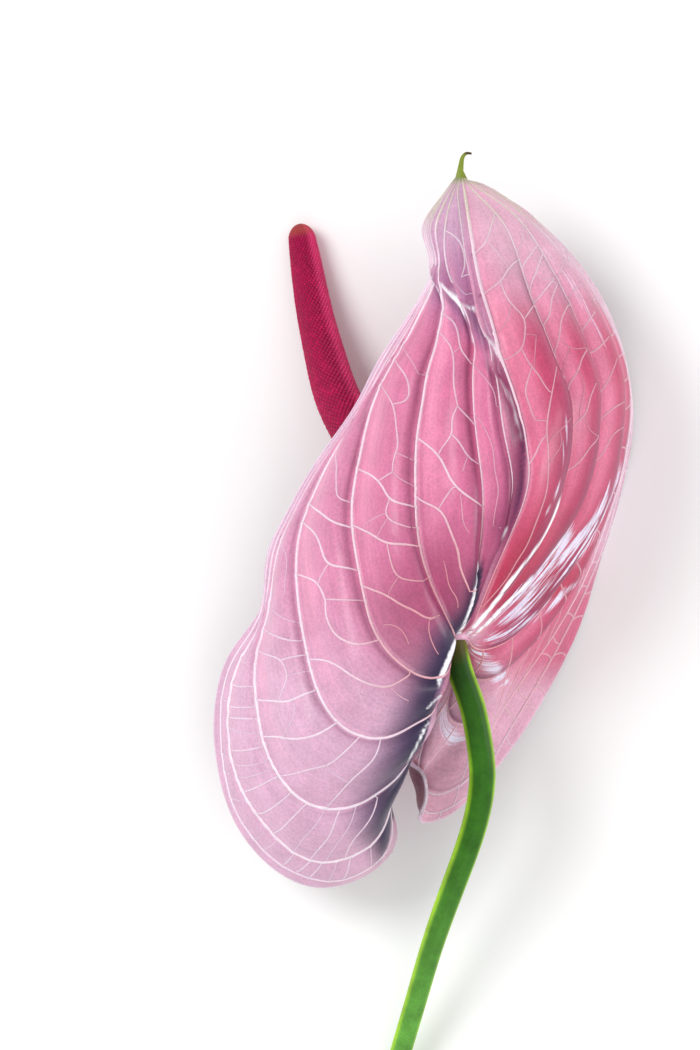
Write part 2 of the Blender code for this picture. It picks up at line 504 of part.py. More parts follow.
def peduncle_rings():
    """Rings of the peduncle from the collar to its square cut end."""
    centre, axis, _, _ = collar_frame()
    top = centre - axis * (0.5 * PIECE_GAP)
    route = [(*top, PEDUNCLE_TOP_RADIUS)]
    route += [(*point, radius) for point, radius in PEDUNCLE_LINE]
    route.append((*PEDUNCLE_END, PEDUNCLE_END_RADIUS))
    line, length = smooth_line(route)
    reach = np.linspace(0.0, length[-1], PEDUNCLE_RINGS)
    path = np.stack([np.interp(reach, length, line[:, k]) for k in range(4)], axis=1)
    _, ups, sides = tube_frames(path[:, :3])
    ups[0] = unit(ups[0] - np.dot(ups[0], axis) * axis)
    sides[0] = np.cross(-axis, ups[0])
    rings = []
    for r, (x, y, z, radius) in enumerate(path):
        ring = []
        for c in range(PEDUNCLE_SIDES):
            turn = 2.0 * math.pi * (c + 0.5) / PEDUNCLE_SIDES
            across = math.cos(turn) * ups[r] + math.sin(turn) * sides[r]
            ring.append(np.array((x, y, z)) + radius * across)
        rings.append(ring)
    return rings


def material(name, colour, roughness):
    """Plain Principled material for one piece."""
    made = bpy.data.materials.new(name)
    made.use_nodes = True
    shader = made.node_tree.nodes["Principled BSDF"]
    shader.inputs["Base Color"].default_value = colour
    shader.inputs["Roughness"].default_value = roughness
    shader.inputs["Metallic"].default_value = 0.0
    made.diffuse_color = colour
    return made


def add_piece(name, points, faces, shift, finish):
    """Make one solid from points in millimetres, moved by shift."""
    mesh = bpy.data.meshes.new(name)
    mesh.from_pydata([tuple((point + shift) * MM) for point in points], [], faces)
    mesh.update()
    mesh.shade_smooth()
    mesh.set_sharp_from_angle(angle=math.radians(SHARP_ANGLE))
    mesh.materials.append(finish)
    piece = bpy.data.objects.new(name, mesh)
    bpy.context.scene.collection.objects.link(piece)
    return piece


def build_flower():
    """Build the three pieces and set them on the origin, resting on z = 0."""
    for old in list(bpy.data.objects):
        bpy.data.objects.remove(old, do_unlink=True)
    pieces = (
        ("spathe", closed_sheet(*blade_grid()),
         material("spathe", SPATHE_COLOUR, SPATHE_ROUGHNESS)),
        ("spadix", closed_tube(spadix_rings()),
         material("spadix", SPADIX_COLOUR, SPADIX_ROUGHNESS)),
        ("peduncle", closed_tube(peduncle_rings()),
         material("peduncle", PEDUNCLE_COLOUR, PEDUNCLE_ROUGHNESS)),
    )
    every_point = np.concatenate([points for _, (points, _), _ in pieces])
    low, high = every_point.min(axis=0), every_point.max(axis=0)
    shift = -np.array(((low[0] + high[0]) / 2.0, (low[1] + high[1]) / 2.0, low[2]))
    for name, (points, faces), finish in pieces:
        add_piece(name, points, faces, shift, finish)


build_flower()
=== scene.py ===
"""Anthurium flower, seen from behind: waxy spathe with its raised veins, spadix and peduncle.

The flower lies on a pale surface and the camera looks straight down on it. Shapes are worked out
in millimetres from the place where the three pieces meet (x to the right, y to the tip, z up) and
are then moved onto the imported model.
"""

import logging
import math
from dataclasses import dataclass, field
from enum import Enum
from functools import partial

import bpy
import numpy as np
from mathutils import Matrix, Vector
from mathutils.kdtree import KDTree


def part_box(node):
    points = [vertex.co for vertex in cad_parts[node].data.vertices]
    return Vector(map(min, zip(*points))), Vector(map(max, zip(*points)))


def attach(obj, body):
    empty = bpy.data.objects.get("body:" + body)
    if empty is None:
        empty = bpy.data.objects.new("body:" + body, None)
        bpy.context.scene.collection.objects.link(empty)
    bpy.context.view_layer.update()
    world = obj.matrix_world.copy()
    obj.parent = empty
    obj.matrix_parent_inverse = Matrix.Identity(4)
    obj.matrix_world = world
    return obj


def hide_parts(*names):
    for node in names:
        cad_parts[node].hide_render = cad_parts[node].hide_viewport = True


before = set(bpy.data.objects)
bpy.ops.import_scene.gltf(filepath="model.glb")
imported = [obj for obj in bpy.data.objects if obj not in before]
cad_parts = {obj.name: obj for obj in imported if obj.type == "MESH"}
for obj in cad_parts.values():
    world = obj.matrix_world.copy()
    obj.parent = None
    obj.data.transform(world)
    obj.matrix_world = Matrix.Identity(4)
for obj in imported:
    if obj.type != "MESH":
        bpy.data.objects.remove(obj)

MM = 0.001
BODY = "root"
log = logging.getLogger("anthurium")

Array = np.ndarray
Rows = tuple[tuple[float, ...], ...]
Piece = bpy.types.Object
Tree = bpy.types.NodeTree
Node = bpy.types.Node
Socket = bpy.types.NodeSocket


class Rank(Enum):
    """Rank of a vein: its full width and how far it stands out of the blade."""

    MAIN = (1.0, 0.28)
    STRONG = (0.56, 0.15)
    CROSS = (0.44, 0.11)
    FINE = (0.30, 0.10)


class Mark(Enum):
    """What a band on the blade is: painted highlight or painted shade, some on a raised ridge or
    fold.
    """

    # Painted highlight: white laid along a low raised ridge, where it would mirror the light.
    SHEEN = "a glossy ridge that mirrors the light"
    # Painted highlight: white reflection on a steep glossy stretch, broken into streaks by the
    # fibres.
    SILK = "a glossy stretch that its fibres break into streaks"
    # Painted shade: a blackish strip where the blade turns away from the light at a fold.
    SHADE = "a strip of blackish pigment beside a fold"
    # Painted shade: a wide dusky stretch beside a fold, fading away from it.
    DUSK = "a wide stretch of dusky pigment beside a fold"
    # Painted shade: a plum strip beside a vein, where the blade turns away from the light.
    PLUM = "a strip of plum pigment beside a vein"
    # A real step, with painted highlight along it and painted shade under the fold.
    CREASE = "a step where one part of the blade folds over the other"


SHEEN, SILK, SHADE, DUSK, PLUM, CREASE = Mark
# The share of its length over which each kind of band fades in, and out again.
MARK_FADES: dict[Mark, tuple[float, float]] = {
    SHEEN: (0.15, 0.12), SILK: (0.25, 0.15), SHADE: (0.15, 0.30),
    DUSK: (0.15, 0.30), PLUM: (0.15, 0.30), CREASE: (0.15, 0.20)}
# The guides between which the bands of the left and the right half lie.
LEFT_HALF = ("left_margin", "midrib")
RIGHT_HALF = ("left_1", "right_margin")


@dataclass(frozen=True)
class Band:
    """A feature that runs over the blade along a line.

    Args:
        mark: What it is.
        guides: The guides that it lies between.
        half_width: Its half width at its start and end.
        rise: How far it stands out.
        strength: How much of the colour below it covers.
        points: The x and y of the points that it runs through; a crease is high on its left.
    """

    mark: Mark
    guides: tuple[str, str]
    half_width: tuple[float, float]
    rise: float
    strength: float
    points: tuple[float, ...]


@dataclass(frozen=True)
class Guide:
    """One vein or margin of the spathe, from the collar to the tip.

    Args:
        name: Its name.
        collar_angle: Where it leaves the collar, in degrees; 0 is the top, minus is left.
        half_way_y: The y at which it is half way.
        vein_width: Width of its vein, 0 where it carries none.
        swell: How far the panel on its right swells, as a share of that panel's width.
        points: The x, y and z of the points that it runs through.
    """

    name: str
    collar_angle: float
    half_way_y: float
    vein_width: float
    swell: float
    points: tuple[float, ...]


GUIDES: tuple[Guide, ...] = (
    Guide("left_margin", -150, 24.0, 0, 0.0, (
        -5.5, -6, 30, -7.5, -13, 26, -10.5, -21, 23, -13.2, -28, 21, -14.4, -33, 20.5,
        -13.2, -38, 20, -13.6, -41.4, 20, -17, -45.6, 20, -22, -48.4, 20, -28.8, -49.6, 20,
        -35.4, -47.4, 19, -41, -42.8, 18, -46, -35.2, 17, -48.8, -25.6, 16, -49.6, -18, 15.5,
        -49, -11, 15, -46.6, -3.4, 14.5, -43, 1.6, 14.5, -40.2, 6, 15, -39.4, 13, 16,
        -38.4, 18.4, 17, -35.6, 24.2, 18, -31.8, 31.2, 20, -26.8, 38.8, 22, -20.6, 48, 25,
        -16.4, 56.2, 27, -11.4, 63.4, 29, -7.6, 69.8, 30, -6.2, 74.8, 30, -6.8, 78.4, 30,
        -7.8, 82, 30, -6, 86, 30.5, -3.4, 89.4, 31)),
    Guide("left_8", -138, 24.3, 0.55, 0.02, (
        -5.2, -6, 31.5, -7.1, -13, 28.5, -10.3, -21, 26, -13.2, -28, 24.5, -14.8, -33, 24,
        -14.4, -38.2, 23.5, -15.4, -42, 23.5, -19.4, -45.8, 23.5, -26, -48, 23, -31, -47.2, 22.5,
        -36.6, -44.4, 21.5, -41.6, -39.4, 20.5, -44.8, -34.4, 20, -47, -27, 18.8, -47.9, -19, 17.5,
        -47.6, -11.4, 17, -45.4, -4.2, 16.6, -41.9, 1.2, 16.6, -39.6, 6.2, 16.2, -38.8, 12.9, 17,
        -37.8, 18.3, 18, -35.1, 24.2, 18.8, -31.3, 31.2, 20.8, -26.3, 38.8, 22.8, -20.1, 48.1, 25.7,
        -15.8, 56.2, 28.2, -11, 63.4, 30, -7.3, 69.8, 31, -5.9, 74.7, 31, -6.5, 78.4, 30.8,
        -7.4, 82, 30.8, -5.7, 86, 31, -3.2, 89.4, 31.3)),
    Guide("left_7", -124, 24.6, 0.95, 0.07, (
        -4.9, -6, 33.5, -6.8, -13, 31.5, -10.2, -21, 29.5, -13.4, -28.5, 28.5, -14.6, -32.6, 28.3,
        -15.6, -36.4, 28.4, -18, -40.4, 28.4, -22.2, -43, 28, -28, -44.2, 27.5, -33.6, -42.2, 27,
        -37.8, -38.4, 26, -43, -31.4, 24.2, -45.6, -24.6, 22.4, -46.4, -18, 20.8,
        -46.1, -11.2, 19.7, -44.3, -4.8, 19, -41, 0.9, 18.3, -39, 6.4, 17.4, -38.1, 12.9, 18.2,
        -37.1, 18.4, 19.1, -34.4, 24.3, 19.8, -30.7, 31.3, 21.7, -25.7, 38.9, 23.8,
        -19.5, 48.2, 26.6, -15.2, 56.2, 29.5, -10.5, 63.5, 31, -7, 69.8, 32, -5.6, 74.7, 32,
        -6.2, 78.4, 31.6, -7.1, 82, 31.5, -5.4, 86, 31.5, -3, 89.5, 31.6)),
    Guide("left_6", -108, 25.0, 1.05, 0.09, (
        -4.7, -6, 36, -6.5, -12.5, 34.5, -9.2, -19, 33.5, -11.7, -25, 33.8, -14.2, -28.2, 34.8,
        -17, -30.4, 35.8, -19.8, -32.2, 36.3, -24.2, -33.6, 36.3, -31, -32.4, 35, -36, -27.6, 33,
        -39.4, -20.6, 30, -40.8, -13, 27.4, -41.2, -7, 25.2, -40.4, -1.6, 22.6, -39, 3.2, 20.2,
        -38, 8, 19, -37.3, 13.2, 19.5, -36.2, 18.6, 20.4, -33.5, 24.6, 21.3, -29.9, 31.5, 23,
        -24.9, 39, 25.2, -18.8, 48.3, 28, -14.5, 56.2, 31, -10, 63.6, 32.2, -6.7, 69.9, 33,
        -5.4, 74.7, 33, -5.9, 78.4, 32.5, -6.8, 82.1, 32.2, -5.1, 86, 32, -2.8, 89.5, 31.9)),
    Guide("left_5", -88, 28.0, 1.1, 0.1, (
        -4.2, -5, 38.5, -5.4, -10.5, 38.5, -6.4, -14.4, 40, -9.2, -16.4, 42, -13, -18.6, 43,
        -16.8, -19.6, 43.5, -20, -19.2, 43.5, -24.4, -16.8, 43, -28, -11.8, 42, -30.6, -3.6, 38.5,
        -32, 3.6, 35.5, -32.8, 12, 32, -32.2, 21, 28.5, -29.8, 28, 27, -25.6, 36.6, 27.2,
        -17.9, 48.5, 29.9, -13.8, 56.2, 32.2, -9.3, 63.8, 33.2, -6.4, 69.9, 33.9, -5.1, 74.7, 34,
        -5.6, 78.4, 33.4, -6.4, 82.1, 32.9, -4.9, 86, 32.5, -2.7, 89.5, 32.2)),
    Guide("left_4", -62, 34.0, 1.05, 0.11, (
        -3.2, -3.2, 40.8, -3.2, -6, 42, -5, -7.4, 43.4, -7.8, -7.4, 44.8, -13, -4.4, 46.6,
        -17.2, 1, 46.5, -19.8, 10, 44.6, -21.2, 17.6, 42.4, -21.8, 27, 38.6, -20.2, 36.6, 35.4,
        -17.4, 47.4, 33.2, -13.2, 55.8, 33.4, -8.6, 64.2, 34.2, -6.1, 70, 34.8, -4.8, 74.7, 35,
        -5.3, 78.4, 34.4, -6, 82.1, 33.7, -4.6, 86, 33.1, -2.5, 89.6, 32.5)),
    Guide("left_3", -34, 40.0, 0.95, 0.13, (
        -2.2, 0.4, 42.6, -3.4, 4.4, 45.6, -6.2, 10.4, 48, -8.8, 19.4, 49.5, -9.4, 29, 48.6,
        -9, 40.4, 46.2, -7.8, 48, 44, -6.9, 53.2, 42.8, -5.3, 58.4, 41.4, -4.2, 63.4, 40,
        -3.7, 67, 38.9, -4.1, 70.6, 37.4, -4.1, 74.6, 36.2, -4.5, 78.4, 35.3, -5, 82.2, 34.6,
        -3.8, 86, 33.8, -2, 89.7, 32.9)),
    Guide("left_2", -12, 44.0, 0.6, 0.13, (
        -0.8, 3, 42.6, 1, 6.2, 44.8, 2.2, 10, 46.6, 2.9, 16, 49, 3.5, 22, 50.5, 3.8, 29.8, 51.3,
        3.3, 35.4, 51, 2.6, 41.4, 50, 2.1, 48.4, 48.5, 2.2, 54.4, 46.9, 2.6, 60, 45.2,
        1.1, 65.5, 43, -0.8, 69.6, 41, -2.4, 73.6, 39.5, -3.2, 79, 37.4, -2.8, 84.6, 35.3,
        -1.4, 89.4, 33.3)),
    Guide("left_1", 0, 46.0, 0.45, 0.13, (
        0.4, 3.2, 42.6, 2, 6.2, 44.6, 3.2, 9.2, 46, 4.4, 12.4, 47.5, 5.8, 16.2, 49.2,
        7.4, 19.6, 50.4, 9, 25.6, 52, 9.7, 31.6, 53, 8.6, 38.8, 53.2, 7.6, 45, 52.8, 7, 50.6, 51.8,
        4.8, 61, 48.8, 2.4, 69.6, 45.2, 0.6, 78, 41, -0.3, 85, 37, -0.6, 89.8, 34)),
    Guide("midrib", 10, 47.5, 0.7, 0.15, (
        1.4, 3, 42.4, 2.9, 6.1, 44.4, 4.5, 10, 46.5, 6, 13.8, 48.3, 8, 18.6, 50.1, 9.6, 22.4, 51.2,
        11.8, 28, 52.5, 12.8, 34.2, 53.3, 12.3, 38.6, 53.5, 11.2, 43.4, 53.3, 9.9, 48.4, 52.9,
        8.2, 54, 52, 6, 62, 49.6, 3.8, 70, 46.4, 2, 80, 41.2, 0.9, 87, 36.6, 0.3, 90.6, 33.8)),
    Guide("right_1", 26, 46.5, 0.66, 0.15, (
        2.6, 3.2, 40.4, 5, 6.4, 41, 7.8, 9.8, 41.5, 12, 15.4, 42, 15.6, 21.4, 42.3,
        17.8, 26.6, 42.8, 19.4, 31.6, 43.4, 20.6, 36.2, 44.1, 21.2, 42, 45, 20.8, 48.4, 45.5,
        18.6, 54.4, 45.6, 16.2, 60.6, 45, 13.8, 66.6, 43.6, 12, 72, 41.8, 10.4, 77.2, 39.6,
        8.2, 82.6, 37, 5, 86.6, 35.2, 1.9, 89.8, 33.6)),
    Guide("right_2", 44, 44.0, 0.70, 0.15, (
        3, 2, 37.8, 5.6, 4.6, 36.9, 9, 8.4, 36, 12.2, 12.2, 35.3, 16.2, 17.4, 34.5, 20, 22.6, 33.8,
        22.8, 27, 33.6, 24.6, 31.6, 33.9, 25.9, 37, 34.5, 26.6, 43.4, 35.5, 26.8, 49, 36.3,
        25.6, 54.4, 37, 23.8, 59.6, 37.3, 21, 66.6, 37.2, 17.4, 73.8, 36.2, 14.2, 79.4, 35.2,
        11, 83.8, 34.2, 7.4, 87, 33.5, 3, 90.1, 32.8)),
    Guide("right_3", 66, 42.5, 0.75, 0.12, (
        2.8, -1.4, 34.8, 5.8, -1.2, 32.8, 9, 0.4, 30.8, 12.2, 3.2, 28.6, 16, 7.6, 26.2, 20, 13, 24,
        23.8, 19.2, 22.3, 26.8, 25.6, 21.3, 29.2, 32.6, 21, 30.4, 38, 21.6, 31.2, 44.6, 22.9,
        31, 52.6, 24.9, 29.2, 59.2, 26.8, 26.8, 65, 28.2, 24, 70.4, 29, 20.8, 75.2, 29.6,
        17, 80, 30.2, 12.4, 84.3, 31, 8, 87.6, 31.7, 3.4, 90.3, 32.2)),
    Guide("right_4", 92, 41.0, 0.62, 0.08, (
        0.4, -4.6, 31.6, 1.6, -7, 29.6, 4.2, -7.6, 28.2, 7.8, -6, 26.5, 11.8, -2.4, 24, 17.4, 4, 20,
        21.8, 11, 17.2, 25.4, 18, 15.3, 28.4, 25.4, 14.4, 30.6, 32, 14.3, 32, 38.4, 14.6,
        32.8, 44.8, 15.2, 32.6, 51, 16.6, 31.2, 57.4, 19.1, 29, 62.8, 21.3, 26.6, 67.4, 23,
        23.2, 73, 25.2, 20, 77.4, 26.8, 17, 80.9, 28, 12.8, 84.9, 29.6, 8.6, 87.8, 30.9,
        3.8, 90.5, 31.7)),
    Guide("right_5", 108, 40.0, 0.45, 0.05, (
        -1.2, -5.6, 31, -2.4, -11, 28, -2.2, -15.8, 25.2, 0.6, -16.6, 23.2, 5, -12.4, 21,
        10.6, -5.6, 18.4, 18, 3.4, 15.6, 23.2, 12, 13.2, 27, 20.4, 12.2, 29.8, 28.4, 11.6,
        31.4, 34, 11.5, 32.5, 39, 11.8, 33.3, 45, 12.4, 33, 51, 13.7, 31.6, 57.4, 16.4,
        29.4, 62.8, 19, 27, 67.6, 21, 23.4, 73.2, 23.6, 20, 77.8, 25.6, 17, 81.1, 27.1,
        12.8, 85.1, 29, 8.6, 88, 30.5, 3.9, 90.6, 31.5)),
    Guide("right_collective", 124, 39.2, 0.6, 0.0, (
        -2.6, -6.4, 30.4, -5, -13, 26.8, -7.2, -20, 23.4, -8.6, -25.6, 20.8, -8.2, -29.2, 19.2,
        -5.8, -30.8, 18.4, -2.8, -30.2, 17.6, 0.8, -27.8, 16.6, 3.8, -22.2, 15.6, 6.6, -16, 14.8,
        10.8, -9.4, 13.8, 19.4, 3.2, 11.5, 24.8, 13.4, 9.8, 28.4, 22.8, 9.1, 31.2, 31.4, 8.8,
        32.8, 38.6, 9.1, 33.7, 44.8, 9.9, 33.4, 51, 11.2, 32, 57.6, 13.9, 29.8, 63, 16.8,
        27.4, 67.8, 19.1, 23.6, 73.6, 22.2, 20.2, 77.9, 24.5, 17.1, 81.2, 26.3, 12.9, 85.2, 28.5,
        8.7, 88.1, 30.1, 4, 90.7, 31.3)),
    Guide("right_curl", 134, 38.6, 0.5, 0.0, (
        -3.4, -6.2, 30.6, -5.9, -12.8, 27.2, -8.4, -19.6, 23.4, -10.4, -24.4, 20.8,
        -10.3, -26.6, 20.2, -9.5, -28.8, 20.2, -8.8, -31.2, 19.8, -8.4, -34, 18.2,
        -6.2, -34.8, 16.4, -2.6, -33.6, 15.2, 1.4, -30.4, 14, 6, -23.8, 12.2, 12.4, -13, 10.2,
        20, 0.2, 8.2, 26, 13.2, 6.9, 29.4, 22.8, 6.4, 32.4, 35, 6.8, 33.9, 43, 7.6, 33.7, 49.6, 8.8,
        32.3, 56.8, 11.6, 28.6, 66.6, 16.9, 22.6, 75.7, 21.8, 17.3, 81.2, 25.3, 9.6, 87.5, 29.5,
        4.1, 90.9, 31.2)),
    Guide("right_margin", 146, 38.0, 0, 0.0, (
        -4.2, -6, 30.8, -6.9, -12.4, 27.6, -9.8, -19, 24.2, -11.8, -23.4, 22, -10.2, -25.2, 22.2,
        -8.2, -26.2, 22.8, -7.2, -28.4, 22.9, -6.9, -30.8, 22.2, -7.5, -33.8, 20.2,
        -8.6, -36.4, 17.8, -4.6, -36.2, 15, 0.6, -32.6, 12.6, 7.6, -25, 9.6, 17.6, -10, 6.4,
        25.4, 7.4, 4, 27.8, 16, 3.4, 30.6, 24.4, 3.15, 33.4, 35.6, 4.2, 34.4, 42.4, 5.2,
        34.1, 48, 6.4, 32.6, 56, 9.2, 27.8, 67.6, 15.6, 21.6, 76.6, 20.7, 17.2, 81.2, 24.2,
        9.9, 87.2, 28.9, 4.2, 91.1, 31)),
)

GUIDE_NAMES = [guide.name for guide in GUIDES]
SWELLS = np.array([guide.swell for guide in GUIDES])
MIDRIB = GUIDE_NAMES.index("midrib")

MAIN, STRONG, CROSS, FINE = Rank
